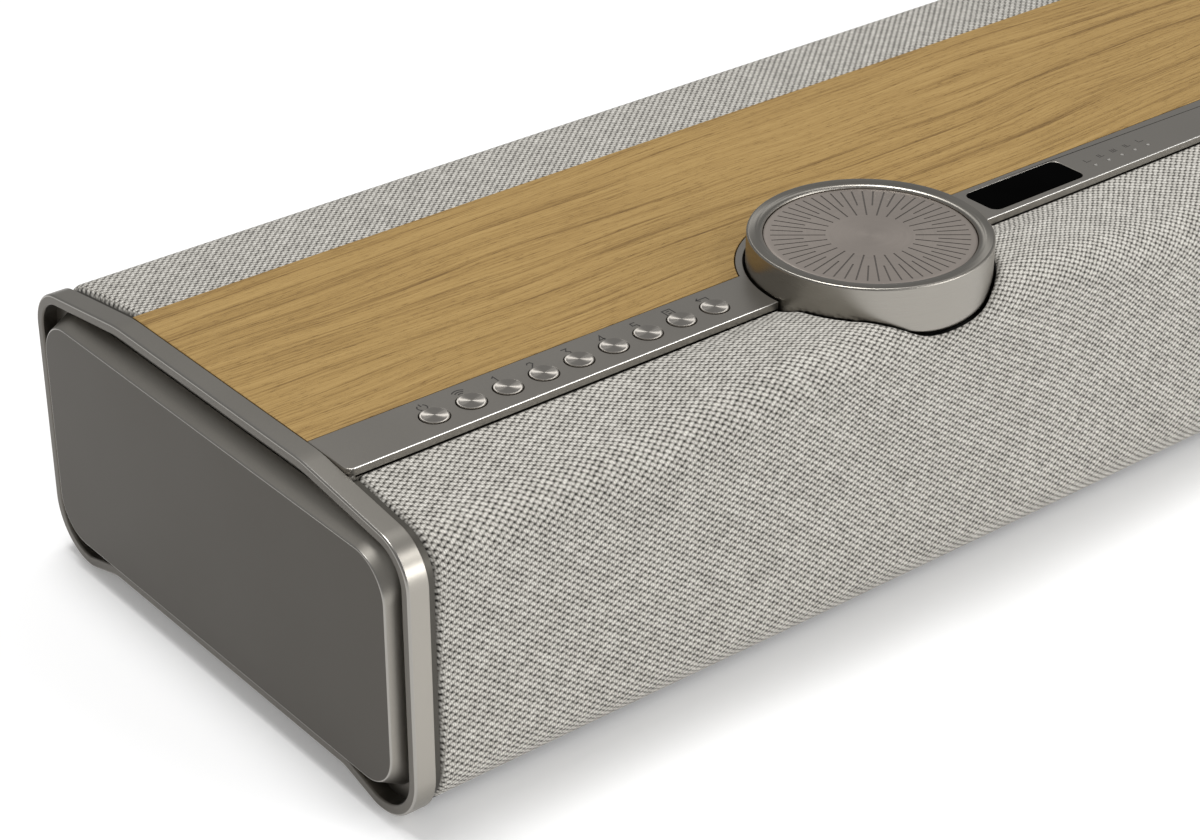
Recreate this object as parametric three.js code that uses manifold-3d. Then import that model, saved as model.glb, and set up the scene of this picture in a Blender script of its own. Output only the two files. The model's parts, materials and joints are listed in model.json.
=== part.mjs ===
// Soundbar: a long low loudspeaker with an oak top, a metal control strip, nine push
// buttons, a display and a large volume dial that overhangs its front edge.
//
// Millimetres, +Z up. X runs along the bar, to the right for someone in front of it, and
// the front faces -Y. The origin is on the surface the feet stand on, below the middle.
//
// Inside the group "bar", Y starts at the front of the end frames and runs rearwards, and
// Z starts at the end frames' lowest point.

import * as THREE from "three";
import { mergeVertices } from "three/addons/utils/BufferGeometryUtils.js";
import Module from "manifold-3d";

const wasm = await Module();
wasm.setup();

// Driving dimensions of the whole bar
const LENGTH = 1000;
const DEPTH = 198;
const HEIGHT = 100;
const FOOT_HEIGHT = 1.5;
const GAP = 0.3;

// The outline of the bar, seen from its end
const FLANK_HEIGHT = 93;
const SHOULDER_RUN = 50;
const ARCH_RISE = 4.5;
const ARCH_START = 36;
const LOBE_END = 20;
const TOP_CORNER_RADIUS = 14.5;
const BOTTOM_CORNER_RADIUS = 18;
const SHOULDER_RADIUS = 40;
const ARCH_RADIUS = 10;
const ARC_STEP = Math.PI / 8;

// End frames and the panels set into them
const BAND_WIDTH = 7;
const BAND_WALL = 3.5;
const WEB_THICKNESS = 2;
const SPIGOT_LENGTH = 2.9;
const SPIGOT_INSET = 1.9;
const SPIGOT_THICKNESS = 1.6;
const PANEL_PROUD = 2.3;
const PANEL_EDGE = 2;
const PANEL_MARGIN = 6.4;
const PANEL_BOTTOM = 8.4;
const PANEL_TOP = 88.8;
const PANEL_CORNER_RADIUS = 15;

// Cloth and the frames behind it
const CLOTH_INSET = 1;
const CLOTH_THICKNESS = 1.4;
const CLOTH_HALF_LENGTH = LENGTH / 2 - 10.2;
const FRAME_THICKNESS = 2.2;
const FRONT_CLOTH_EDGE = 36.3;
const REAR_CLOTH_EDGE = 150.1;
const UNDER_CLOTH_EDGE = 9.5;

// Round the dial the cloth is drawn up into a collar: the bar's front top corner moves
// here, and the cloth slopes up to it from the strip's edge
const COLLAR_CORNER = [-1.7, 101.7, 13];
const COLLAR_SLOPE_START = 36.5;
const COLLAR_SLOPE_END = [28, 101.2];
const COLLAR_RUN = 85;
const COLLAR_STEPS = 6;

// Cover underneath
const COVER_INSET = 0.3;
const COVER_THICKNESS = 3;

// Oak top and control strip
const TOP_HALF_LENGTH = LENGTH / 2 - BAND_WIDTH - GAP;
const WOOD_FRONT = 56.9;
const WOOD_REAR = 149.8;
const DECK = 89.5;
const STRIP_FRONT = 36.7;
const STRIP_REAR = 56.6;
const STRIP_THICKNESS = 3;
const STRIP_LEG = 2;

// Buttons
const BUTTON_COUNT = 9;
const BUTTON_FIRST_X = -457.3;
const BUTTON_PITCH = 12.93;
const BUTTON_Y = 46;
const BUTTON_RADIUS = 4.35;
const BUTTON_PROUD = 0.4;
const BUTTON_FLANGE_RADIUS = 5.2;
const BUTTON_STEM_RADIUS = 1.6;
const BUTTON_STEM_END = 94.5;
const BUTTON_FACETS = 16;
const SWITCH_SIZE = 6;
const BOARD_THICKNESS = 1.6;
const SWITCH_TOP = 93.4;

// Display and status lights
const DISPLAY_X = -220.4;
const DISPLAY_Y = 46.7;
const DISPLAY_WIDTH = 41.6;
const DISPLAY_DEPTH = 14.3;
const DISPLAY_CORNER = 2.8;
const LIGHT_COUNT = 5;
const LIGHT_FIRST_X = -191;
const LIGHT_PITCH = 6.33;
const LIGHT_Y = 42.9;
const LIGHT_RADIUS = 0.6;

// Volume dial
const DIAL_X = -297.8;
const DIAL_Y = 38.3;
const DIAL_RADIUS = 38.1;
const DIAL_BOTTOM = 91.8;
const DIAL_TOP = 110.7;
const DIAL_EDGE = 1.2;
const DIAL_LIP = 4.9;
const DIAL_LIP_FLAT = 3.1;
const DIAL_DISC_TOP = 109.5;
const DIAL_DISC_THICKNESS = 1.7;
const DIAL_FOOT_RADIUS = 4.5;
const DIAL_FACETS = 40;
const RIM_INNER_RADIUS = 38.9;
const RIM_OUTER_RADIUS = 41.2;
const CLOTH_HOLE_RADIUS = 39.1;
const CLOTH_HOLE_BOTTOM = 92;
const CUP_RADIUS = 40.9;
const CUP_WALL = 2;
const CUP_FLOOR_TOP = 91;
const SHAFT_RADIUS = 3;
const BEARING_RADIUS = 7.7;
const ENCODER_SIZE = 24;
const ENCODER_BOTTOM = 70;

// Cabinet
const BOARD_HALF_LENGTH = LENGTH / 2 - BAND_WIDTH - 2 * GAP;
const FLOOR_BOTTOM = 8.3;
const FLOOR_TOP = 11.8;
const CEILING_BOTTOM = 86.2;
const BAFFLE_FRONT = 13;
const BAFFLE_REAR = 23;
const BACK_FRONT = 176;
const BACK_REAR = 182;
const BULKHEAD_X = 150;
const BULKHEAD_THICKNESS = 6;

// Drivers
const WOOFER_X = [-390, 0, 390];
const WOOFER_NAMES = ["left", "centre", "right"];
const TWEETER_X = [-455, 455];
const TWEETER_NAMES = ["left", "right"];
const DRIVER_Z = 49;
const DRIVER_FACETS = 20;
const WOOFER_HOLE_RADIUS = 31.5;
const TWEETER_HOLE_RADIUS = 16.3;

// Connector bay at the middle of the rear
const BAY_WIDTH = 94;
const BAY_BOTTOM = 21;
const BAY_TOP = 69;
const BAY_WALL = 2;
const PLATE_THICKNESS = 2.4;

// Feet
const FOOT_X = 430;
const FOOT_Y = 25.5;
const FOOT_LENGTH = 46;
const FOOT_WIDTH = 8;
const FOOT_POCKET_TOP = 3.5;

const FINISHES = {
  satinMetal: { color: 0x8f8b84, roughness: 0.42, metalness: 0.9 },
  darkMetal: { color: 0x5f5b56, roughness: 0.4, metalness: 0.85 },
  spunMetal: { color: 0x8b857e, roughness: 0.3, metalness: 1.0 },
  steel: { color: 0xb4b6b8, roughness: 0.35, metalness: 1.0 },
  magnet: { color: 0x2c2c2e, roughness: 0.7, metalness: 0.3 },
  oak: { color: 0xb2925f, roughness: 0.55, metalness: 0.0 },
  cloth: { color: 0xa8a399, roughness: 0.95, metalness: 0.0 },
  blackPlastic: { color: 0x1c1c1d, roughness: 0.6, metalness: 0.0 },
  greyPlastic: { color: 0x55534f, roughness: 0.6, metalness: 0.0 },
  clearPlastic: { color: 0xe6e8ea, roughness: 0.2, metalness: 0.0 },
  glossBlack: { color: 0x060607, roughness: 0.08, metalness: 0.0 },
  board: { color: 0x1f4a33, roughness: 0.6, metalness: 0.0 },
  fibreboard: { color: 0x6d5740, roughness: 0.9, metalness: 0.0 },
  paper: { color: 0x26262a, roughness: 0.85, metalness: 0.0 },
  rubber: { color: 0x181819, roughness: 0.9, metalness: 0.0 },
};

// ---------------------------------------------------------------- solids

// A closed geometry as a solid that can be cut and joined.
function solid(geometry) {
  const plain = geometry.clone();
  plain.deleteAttribute("normal");
  plain.deleteAttribute("uv");
  const merged = mergeVertices(plain, 1e-4);
  const index = merged.index.array;
  const triangles = [];
  for (let i = 0; i < index.length; i += 3) {
    const [a, b, c] = index.slice(i, i + 3);
    if (a !== b && b !== c && c !== a) triangles.push(a, b, c);
  }
  const mesh = new wasm.Mesh({
    numProp: 3,
    vertProperties: new Float32Array(merged.attributes.position.array),
    triVerts: new Uint32Array(triangles),
  });
  return new wasm.Manifold(mesh);
}

function geometryOf(body) {
  const mesh = body.getMesh();
  const geometry = new THREE.BufferGeometry();
  geometry.setAttribute("position", new THREE.BufferAttribute(mesh.vertProperties, 3));
  geometry.setIndex(new THREE.BufferAttribute(mesh.triVerts, 1));
  const flat = geometry.toNonIndexed();
  flat.computeVertexNormals();
  return flat;
}

function join(bodies) {
  return bodies.reduce((whole, body) => whole.add(body));
}

function cut(body, tools) {
  return tools.reduce((rest, tool) => rest.subtract(tool), body);
}

function box([x0, x1], [y0, y1], [z0, z1]) {
  const geometry = new THREE.BoxGeometry(x1 - x0, y1 - y0, z1 - z0);
  geometry.translate((x0 + x1) / 2, (y0 + y1) / 2, (z0 + z1) / 2);
  return solid(geometry);
}

function extrusion(shape, depth, bevel = 0) {
  return new THREE.ExtrudeGeometry(shape, {
    depth: depth - 2 * bevel,
    bevelEnabled: bevel > 0,
    bevelThickness: bevel,
    bevelSize: bevel,
    bevelOffset: -bevel,
    bevelSegments: 2,
    curveSegments: 6,
  }).translate(0, 0, bevel);
}

// A shape drawn in Y and Z, extruded along X.
function alongX(shape, [x0, x1], bevel = 0) {
  const geometry = extrusion(shape, x1 - x0, bevel);
  const axes = new THREE.Matrix4().makeBasis(
    new THREE.Vector3(0, 1, 0),
    new THREE.Vector3(0, 0, 1),
    new THREE.Vector3(1, 0, 0),
  );
  return solid(geometry.applyMatrix4(axes).translate(x0, 0, 0));
}

// A solid through outlines of [y, z] points, one at each X. All have as many points.
function loft(outlines, xs) {
  const points = outlines.flatMap((outline, s) => outline.map(({ x: y, y: z }) => [xs[s], y, z]));
  const count = outlines[0].length;
  const faces = [];
  for (let s = 0; s + 1 < xs.length; s += 1) {
    for (let i = 0; i < count; i += 1) {
      const [a, b] = [s * count + i, s * count + ((i + 1) % count)];
      faces.push([a, b, b + count], [a, b + count, a + count]);
    }
  }
  const last = (xs.length - 1) * count;
  for (const [a, b, c] of THREE.ShapeUtils.triangulateShape(outlines[0], [])) faces.push([c, b, a]);
  for (const face of THREE.ShapeUtils.triangulateShape(outlines.at(-1), [])) {
    faces.push(face.map((corner) => last + corner));
  }
  const geometry = new THREE.BufferGeometry();
  geometry.setAttribute("position", new THREE.Float32BufferAttribute(points.flat(), 3));
  geometry.setIndex(faces.flat());
  return solid(geometry);
}

// A shape drawn in X and Y, extruded upwards.
function alongZ(shape, [z0, z1]) {
  return solid(extrusion(shape, z1 - z0).translate(0, 0, z0));
}

// A shape drawn in X and Z, extruded rearwards.
function alongY(shape, [y0, y1]) {
  const geometry = extrusion(shape, y1 - y0);
  return solid(geometry.rotateX(Math.PI / 2).translate(0, y1, 0));
}

function revolved(profile, facets) {
  const points = profile.map(([radius, height]) => new THREE.Vector2(radius, height));
  return new THREE.LatheGeometry(points, facets);
}

// A profile of [radius, z], from the bottom of the axis outwards and up.
function turnedZ(profile, facets, x = 0, y = 0) {
  const geometry = revolved(profile, facets).rotateX(Math.PI / 2);
  return solid(geometry.translate(x, y, 0));
}

// A profile of [radius, y] about an axis that runs rearwards.
function turnedY(profile, facets, x, z) {
  return solid(revolved(profile, facets).translate(x, 0, z));
}

function cylinderZ(radius, [z0, z1], x, y, facets = 24) {
  return turnedZ([[0, z0], [radius, z0], [radius, z1], [0, z1]], facets, x, y);
}

function cylinderY(radius, [y0, y1], x, z, facets = 24) {
  return turnedY([[0, y0], [radius, y0], [radius, y1], [0, y1]], facets, x, z);
}

// ---------------------------------------------------------------- outlines

// Corners are [u, v, radius], anticlockwise. Each edge moves inwards by the inset. A corner
// without a radius stays sharp.
function insetCorners(corners, inset) {
  return corners.map(([u, v, radius], i) => {
    const [inward, outward, turn] = directionsAt(corners, i);
    const normals = new THREE.Vector2(-inward.y - outward.y, inward.x + outward.x);
    normals.multiplyScalar(inset / (1 + inward.dot(outward)));
    return [u + normals.x, v + normals.y, radius && radius - Math.sign(turn) * inset];
  });
}

function directionsAt(corners, i) {
  const [u, v] = corners[i];
  const [u0, v0] = corners.at(i - 1);
  const [u1, v1] = corners[(i + 1) % corners.length];
  const inward = new THREE.Vector2(u - u0, v - v0).normalize();
  const outward = new THREE.Vector2(u1 - u, v1 - v).normalize();
  return [inward, outward, Math.atan2(inward.cross(outward), inward.dot(outward))];
}

function roundedPoints(corners) {
  const points = [];
  corners.forEach(([u, v, radius], i) => {
    if (radius === 0) {
      points.push(new THREE.Vector2(u, v));
      return;
    }
    const [inward, , turn] = directionsAt(corners, i);
    const side = Math.sign(turn);
    const start = new THREE.Vector2(u, v).addScaledVector(inward, -radius * Math.tan(Math.abs(turn) / 2));
    const centre = start.clone().add(new THREE.Vector2(-inward.y, inward.x).multiplyScalar(side * radius));
    const steps = Math.max(1, Math.round(Math.abs(turn) / ARC_STEP));
    for (let k = 0; k <= steps; k += 1) {
      points.push(start.clone().rotateAround(centre, (turn * k) / steps));
    }
  });
  return points;
}

function roundedShape(corners) {
  return new THREE.Shape(roundedPoints(corners));
}

const TOP_CORNER = [0, FLANK_HEIGHT, TOP_CORNER_RADIUS];
const SHOULDER = [SHOULDER_RUN, HEIGHT, SHOULDER_RADIUS];
const LOBE = [
  [0, 0, BOTTOM_CORNER_RADIUS],
  [LOBE_END, 0, ARCH_RADIUS],
  [ARCH_START, ARCH_RISE, ARCH_RADIUS],
];

// The corners of the bar's outline, with others at the front of the top if need be.
function barCorners(topFront = [SHOULDER, TOP_CORNER]) {
  const mirrored = (corners) => corners.map(([y, z, radius]) => [DEPTH - y, z, radius]).reverse();
  return [...LOBE, ...mirrored(LOBE), ...mirrored([SHOULDER, TOP_CORNER]), ...topFront];
}

// The outline of the bar, with its edge moved inwards.
function barOutline(inset = 0) {
  return roundedShape(insetCorners(barCorners(), inset));
}

// The same, drawn up towards the collar's corner by a share from 0 to 1.
function collarOutline(inset, share) {
  const slopeAt = (y) => THREE.MathUtils.mapLinear(y, 0, SHOULDER_RUN, FLANK_HEIGHT, HEIGHT);
  const [slopeEnd, slopeTop] = COLLAR_SLOPE_END;
  const topFront = [
    SHOULDER,
    [COLLAR_SLOPE_START, slopeAt(COLLAR_SLOPE_START), 0],
    [slopeEnd, THREE.MathUtils.lerp(slopeAt(slopeEnd), slopeTop, share), 0],
    TOP_CORNER.map((value, i) => THREE.MathUtils.lerp(value, COLLAR_CORNER[i], share)),
  ];
  return roundedPoints(insetCorners(barCorners(topFront), inset));
}

function roundedRectangle([u0, u1], [v0, v1], radius) {
  return roundedShape([
    [u0, v0, radius],
    [u1, v0, radius],
    [u1, v1, radius],
    [u0, v1, radius],
  ]);
}

// A sheet that follows the outline of the bar at a given inset.
function skin(inset, thickness, halfLength) {
  const outer = alongX(barOutline(inset), [-halfLength, halfLength]);
  const inner = alongX(barOutline(inset + thickness), [-LENGTH, LENGTH]);
  return outer.subtract(inner);
}

// The space inside the front cloth or the frame behind it, with the collar round the dial.
function collarSpace(inset, halfLength) {
  const runs = [];
  for (let k = 0; k <= COLLAR_STEPS; k += 1) {
    runs.push(k / COLLAR_STEPS);
  }
  const reach = runs.map((run) => RIM_INNER_RADIUS + COLLAR_RUN * run);
  const shares = runs.map((run) => (1 + Math.cos(Math.PI * run)) / 2);
  const left = reach.map((distance) => DIAL_X - distance).reverse();
  const right = reach.map((distance) => DIAL_X + distance);
  const outlines = [0, ...shares.toReversed(), ...shares, 0].map((share) => collarOutline(inset, share));
  return loft(outlines, [-halfLength, ...left, ...right, halfLength]);
}

// A sheet that follows the front of the bar and the collar.
function frontSkin(inset, thickness) {
  const outer = collarSpace(inset, CLOTH_HALF_LENGTH);
  return outer.subtract(collarSpace(inset + thickness, LENGTH)).intersect(frontRegion());
}

// A round space about the dial's axis, from a given height up.
function dialSpace(radius, bottom) {
  return cylinderZ(radius, [bottom, DIAL_TOP], DIAL_X, DIAL_Y, DIAL_FACETS);
}

// The space of the connector bay, right through the rear.
function baySpace(margin) {
  return box(
    [-BAY_WIDTH / 2 - margin, BAY_WIDTH / 2 + margin],
    [BACK_FRONT - 1, DEPTH + 1],
    [BAY_BOTTOM - margin, BAY_TOP + margin],
  );
}

// ---------------------------------------------------------------- the assembly

const soundbar = new THREE.Group();
const bar = new THREE.Group();
bar.position.set(0, -DEPTH / 2, FOOT_HEIGHT);
soundbar.add(bar);

function add(name, body, finish) {
  const mesh = new THREE.Mesh(geometryOf(body), new THREE.MeshStandardMaterial(FINISHES[finish]));
  mesh.name = name;
  bar.add(mesh);
}

// A cast metal band with a web that closes the end of the cabinet. The web stands back
// from the outer edge, so the end panel sits in a recess. A thin spigot inside the band
// closes the gap up to the end of the cloth, but not across the top.
function endFrame(side) {
  const outer = side * (LENGTH / 2);
  const inner = side * (LENGTH / 2 - BAND_WIDTH);
  const webFace = inner + side * WEB_THICKNESS;
  const span = (a, b) => [Math.min(a, b), Math.max(a, b)];
  const block = alongX(barOutline(), span(outer, inner));
  const recess = alongX(barOutline(BAND_WALL), span(outer + side, webFace));
  const spigot = skin(SPIGOT_INSET, SPIGOT_THICKNESS, LENGTH).intersect(
    box(span(inner, inner - side * SPIGOT_LENGTH), [0, DEPTH], [0, HEIGHT]),
  );
  const across = box([-LENGTH, LENGTH], [FRONT_CLOTH_EDGE, REAR_CLOTH_EDGE], [HEIGHT / 2, HEIGHT]);
  return block.subtract(recess).add(spigot.subtract(across));
}

function endPanel(side) {
  const outer = side * (LENGTH / 2 + PANEL_PROUD);
  const inner = side * (LENGTH / 2 - BAND_WIDTH + WEB_THICKNESS + GAP);
  const shape = roundedRectangle(
    [PANEL_MARGIN, DEPTH - PANEL_MARGIN],
    [PANEL_BOTTOM, PANEL_TOP],
    PANEL_CORNER_RADIUS,
  );
  return alongX(shape, [Math.min(outer, inner), Math.max(outer, inner)], PANEL_EDGE);
}

function buttonX(i) {
  return BUTTON_FIRST_X + i * BUTTON_PITCH;
}

// A cap with a flange below the strip, which keeps it in, and a stem above its switch.
function button(x) {
  const flangeTop = HEIGHT - STRIP_THICKNESS - GAP;
  const flangeBottom = flangeTop - 1;
  return turnedZ(
    [
      [0, BUTTON_STEM_END],
      [BUTTON_STEM_RADIUS, BUTTON_STEM_END],
      [BUTTON_STEM_RADIUS, flangeBottom],
      [BUTTON_FLANGE_RADIUS, flangeBottom],
      [BUTTON_FLANGE_RADIUS, flangeTop],
      [BUTTON_RADIUS, flangeTop],
      [BUTTON_RADIUS, HEIGHT + BUTTON_PROUD],
      [0, HEIGHT + BUTTON_PROUD],
    ],
    BUTTON_FACETS,
    x,
    BUTTON_Y,
  );
}

function displayShape(margin) {
  return roundedRectangle(
    [DISPLAY_X - DISPLAY_WIDTH / 2 - margin, DISPLAY_X + DISPLAY_WIDTH / 2 + margin],
    [DISPLAY_Y - DISPLAY_DEPTH / 2 - margin, DISPLAY_Y + DISPLAY_DEPTH / 2 + margin],
    DISPLAY_CORNER + margin,
  );
}

function lightPegs(radius, span) {
  const pegs = [];
  for (let i = 0; i < LIGHT_COUNT; i += 1) {
    pegs.push(cylinderZ(radius, span, LIGHT_FIRST_X + i * LIGHT_PITCH, LIGHT_Y, 10));
  }
  return pegs;
}

function buttonHoles(span) {
  const holes = [];
  for (let i = 0; i < BUTTON_COUNT; i += 1) {
    holes.push(cylinderZ(BUTTON_RADIUS + GAP, span, buttonX(i), BUTTON_Y, BUTTON_FACETS));
  }
  return holes;
}

// A channel, open below, that stands on the deck. Behind the dial it is only a rim, which
// joins its two arms.
function controlStrip() {
  const underside = HEIGHT - STRIP_THICKNESS;
  const channel = box([-TOP_HALF_LENGTH, TOP_HALF_LENGTH], [STRIP_FRONT, STRIP_REAR], [DECK + GAP, HEIGHT]);
  const hollow = box(
    [-LENGTH, LENGTH],
    [STRIP_FRONT + STRIP_LEG, STRIP_REAR - STRIP_LEG],
    [DECK, underside],
  );
  const cupSpace = cylinderZ(RIM_OUTER_RADIUS, [DECK, underside], DIAL_X, DIAL_Y, DIAL_FACETS);
  const rim = cylinderZ(RIM_OUTER_RADIUS, [underside, HEIGHT], DIAL_X, DIAL_Y, DIAL_FACETS);
  const behindCloth = box([-LENGTH / 2, LENGTH / 2], [STRIP_FRONT, DEPTH], [DECK, HEIGHT]);
  const arms = cut(channel, [hollow, cupSpace]);
  const openings = [underside - 1, HEIGHT + 1];
  return cut(arms.add(rim.intersect(behindCloth)), [
    dialSpace(RIM_INNER_RADIUS, DECK),
    alongZ(displayShape(GAP), openings),
    ...buttonHoles(openings),
    ...lightPegs(LIGHT_RADIUS + GAP, openings),
  ]);
}

// One board with a switch below each button.
function buttonBoard() {
  const floor = DECK + GAP;
  const boardTop = floor + BOARD_THICKNESS;
  const board = box([buttonX(0) - 12, buttonX(BUTTON_COUNT - 1) + 5], [39.1, 54.2], [floor, boardTop]);
  const switches = [];
  for (let i = 0; i < BUTTON_COUNT; i += 1) {
    const x = buttonX(i);
    switches.push(box(
      [x - SWITCH_SIZE / 2, x + SWITCH_SIZE / 2],
      [BUTTON_Y - SWITCH_SIZE / 2, BUTTON_Y + SWITCH_SIZE / 2],
      [floor + 0.5, SWITCH_TOP],
    ));
  }
  return join([board, ...switches]);
}

function displayModule() {
  const floor = DECK + GAP;
  const board = box([DISPLAY_X - 24, LIGHT_FIRST_X + 30], [39.1, 54.2], [floor, floor + BOARD_THICKNESS]);
  const screen = box(
    [DISPLAY_X - DISPLAY_WIDTH / 2, DISPLAY_X + DISPLAY_WIDTH / 2],
    [DISPLAY_Y - 6.5, DISPLAY_Y + 6.5],
    [floor + 0.5, HEIGHT - STRIP_THICKNESS - GAP],
  );
  return board.add(screen);
}

// One clear bar with a peg up to each status light.
function lightGuide() {
  const lastX = LIGHT_FIRST_X + (LIGHT_COUNT - 1) * LIGHT_PITCH;
  const root = box(
    [LIGHT_FIRST_X - 2.5, lastX + 2.5],
    [LIGHT_Y - 1.5, LIGHT_Y + 1.5],
    [DECK + 2 * GAP + BOARD_THICKNESS, HEIGHT - STRIP_THICKNESS - GAP],
  );
  return join([root, ...lightPegs(LIGHT_RADIUS, [HEIGHT - STRIP_THICKNESS - 1, HEIGHT])]);
}

// ---------------------------------------------------------------- volume dial

function dialBody() {
  const foot = [];
  const steps = 3;
  for (let k = 0; k <= steps; k += 1) {
    const turn = (Math.PI / 2) * (k / steps);
    foot.push([
      DIAL_RADIUS - DIAL_FOOT_RADIUS * (1 - Math.sin(turn)),
      DIAL_BOTTOM + DIAL_FOOT_RADIUS * (1 - Math.cos(turn)),
    ]);
  }
  const recessFloor = DIAL_DISC_TOP - DIAL_DISC_THICKNESS - GAP;
  const boreTop = DIAL_BOTTOM + 10;
  return turnedZ(
    [
      [0, boreTop],
      [SHAFT_RADIUS + GAP, boreTop],
      [SHAFT_RADIUS + GAP, DIAL_BOTTOM],
      ...foot,
      [DIAL_RADIUS, DIAL_TOP - DIAL_EDGE],
      [DIAL_RADIUS - DIAL_EDGE, DIAL_TOP],
      [DIAL_RADIUS - DIAL_LIP_FLAT, DIAL_TOP],
      [DIAL_RADIUS - DIAL_LIP, DIAL_DISC_TOP - GAP],
      [DIAL_RADIUS - DIAL_LIP, recessFloor],
      [0, recessFloor],
    ],
    DIAL_FACETS,
    DIAL_X,
    DIAL_Y,
  );
}

function dialDisc() {
  const radius = DIAL_RADIUS - DIAL_LIP - GAP;
  const span = [DIAL_DISC_TOP - DIAL_DISC_THICKNESS, DIAL_DISC_TOP];
  return cylinderZ(radius, span, DIAL_X, DIAL_Y, DIAL_FACETS);
}

// The cup that the dial turns in. Behind the strip's front its wall ends below the rim,
// and in front of it below the cloth's collar.
function dialCup() {
  const floorBottom = DECK + GAP;
  const rimUnderside = HEIGHT - STRIP_THICKNESS - GAP;
  const cup = turnedZ(
    [
      [BEARING_RADIUS + GAP, floorBottom],
      [CUP_RADIUS, floorBottom],
      [CUP_RADIUS, HEIGHT],
      [CUP_RADIUS - CUP_WALL, HEIGHT],
      [CUP_RADIUS - CUP_WALL, CUP_FLOOR_TOP],
      [BEARING_RADIUS + GAP, CUP_FLOOR_TOP],
      [BEARING_RADIUS + GAP, floorBottom],
    ],
    DIAL_FACETS,
    DIAL_X,
    DIAL_Y,
  );
  const behindCloth = [FRONT_CLOTH_EDGE + GAP, DEPTH];
  const underCloth = collarSpace(CLOTH_INSET + CLOTH_THICKNESS + GAP, LENGTH / 2);
  const underStrip = box([-LENGTH, LENGTH], behindCloth, [0, HEIGHT + 1]);
  const rimSpace = box([-LENGTH, LENGTH], behindCloth, [rimUnderside, HEIGHT + 1]);
  return cup.intersect(underCloth.add(underStrip)).subtract(rimSpace);
}

function dialShaft() {
  const span = [ENCODER_BOTTOM + 2 + GAP, DIAL_BOTTOM + 10 - GAP];
  return cylinderZ(SHAFT_RADIUS, span, DIAL_X, DIAL_Y, 16);
}

// A plain bush round the shaft, held in the cabinet's top and the cup's floor.
function dialBearing() {
  const bush = cylinderZ(BEARING_RADIUS, [CEILING_BOTTOM, CUP_FLOOR_TOP + GAP], DIAL_X, DIAL_Y);
  return bush.subtract(cylinderZ(SHAFT_RADIUS + GAP, [0, HEIGHT], DIAL_X, DIAL_Y, 16));
}

function rotaryEncoder() {
  const half = ENCODER_SIZE / 2;
  const body = box(
    [DIAL_X - half, DIAL_X + half],
    [DIAL_Y - half, DIAL_Y + half],
    [ENCODER_BOTTOM, CEILING_BOTTOM - GAP],
  );
  const bore = cylinderZ(SHAFT_RADIUS + GAP, [ENCODER_BOTTOM + 2, HEIGHT], DIAL_X, DIAL_Y, 16);
  return body.subtract(bore);
}

// ---------------------------------------------------------------- cloth and frames

function frontRegion() {
  const upper = box([-LENGTH, LENGTH], [-2, FRONT_CLOTH_EDGE], [HEIGHT / 2, HEIGHT + 2]);
  const lower = box([-LENGTH, LENGTH], [-2, UNDER_CLOTH_EDGE], [-1, HEIGHT / 2]);
  return upper.add(lower);
}

function rearRegion() {
  const upper = box([-LENGTH, LENGTH], [REAR_CLOTH_EDGE, DEPTH + 1], [HEIGHT / 2, HEIGHT + 1]);
  const lower = box([-LENGTH, LENGTH], [DEPTH - UNDER_CLOTH_EDGE, DEPTH + 1], [-1, HEIGHT / 2]);
  return upper.add(lower);
}

function frontFabric() {
  const sheet = frontSkin(CLOTH_INSET, CLOTH_THICKNESS);
  return sheet.subtract(dialSpace(CLOTH_HOLE_RADIUS, CLOTH_HOLE_BOTTOM));
}

function rearFabric() {
  const sheet = skin(CLOTH_INSET, CLOTH_THICKNESS, CLOTH_HALF_LENGTH).intersect(rearRegion());
  return sheet.subtract(baySpace(GAP));
}

// A moulded frame behind the front cloth, with a window before each driver.
function frontGrilleFrame() {
  const sheet = frontSkin(CLOTH_INSET + CLOTH_THICKNESS + GAP, FRAME_THICKNESS);
  const windows = WOOFER_X.map((x) => cylinderY(38, [0, BAFFLE_FRONT], x, DRIVER_Z));
  windows.push(...TWEETER_X.map((x) => cylinderY(19, [0, BAFFLE_FRONT], x, DRIVER_Z, 16)));
  return cut(sheet, [dialSpace(RIM_OUTER_RADIUS, DECK), ...windows]);
}

function rearGrilleFrame() {
  const inset = CLOTH_INSET + CLOTH_THICKNESS + GAP;
  const sheet = skin(inset, FRAME_THICKNESS, CLOTH_HALF_LENGTH).intersect(rearRegion());
  return sheet.subtract(baySpace(GAP));
}

// ---------------------------------------------------------------- feet and cover

function footShape(x, y, margin) {
  return roundedRectangle(
    [x - FOOT_LENGTH / 2 - margin, x + FOOT_LENGTH / 2 + margin],
    [y - FOOT_WIDTH / 2 - margin, y + FOOT_WIDTH / 2 + margin],
    FOOT_WIDTH / 2 + margin - 0.1,
  );
}

const FEET = [
  ["foot_front_left", -FOOT_X, FOOT_Y],
  ["foot_front_right", FOOT_X, FOOT_Y],
  ["foot_rear_left", -FOOT_X, DEPTH - FOOT_Y],
  ["foot_rear_right", FOOT_X, DEPTH - FOOT_Y],
];

// The moulded cover underneath, arched between two long lobes.
function baseCover() {
  const region = box(
    [-LENGTH, LENGTH],
    [UNDER_CLOTH_EDGE + GAP, DEPTH - UNDER_CLOTH_EDGE - GAP],
    [-1, FLOOR_BOTTOM],
  );
  const sheet = skin(COVER_INSET, COVER_THICKNESS, CLOTH_HALF_LENGTH).intersect(region);
  const pockets = FEET.map(([, x, y]) => alongZ(footShape(x, y, GAP), [-2, FOOT_POCKET_TOP]));
  return cut(sheet, pockets);
}

// ---------------------------------------------------------------- cabinet

const INSIDE_HEIGHT = [FLOOR_TOP + GAP, CEILING_BOTTOM - GAP];
const LID_DEPTH = [BAFFLE_FRONT, DEPTH - BAFFLE_FRONT];
const BOARD_SPAN = [-BOARD_HALF_LENGTH, BOARD_HALF_LENGTH];

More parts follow.
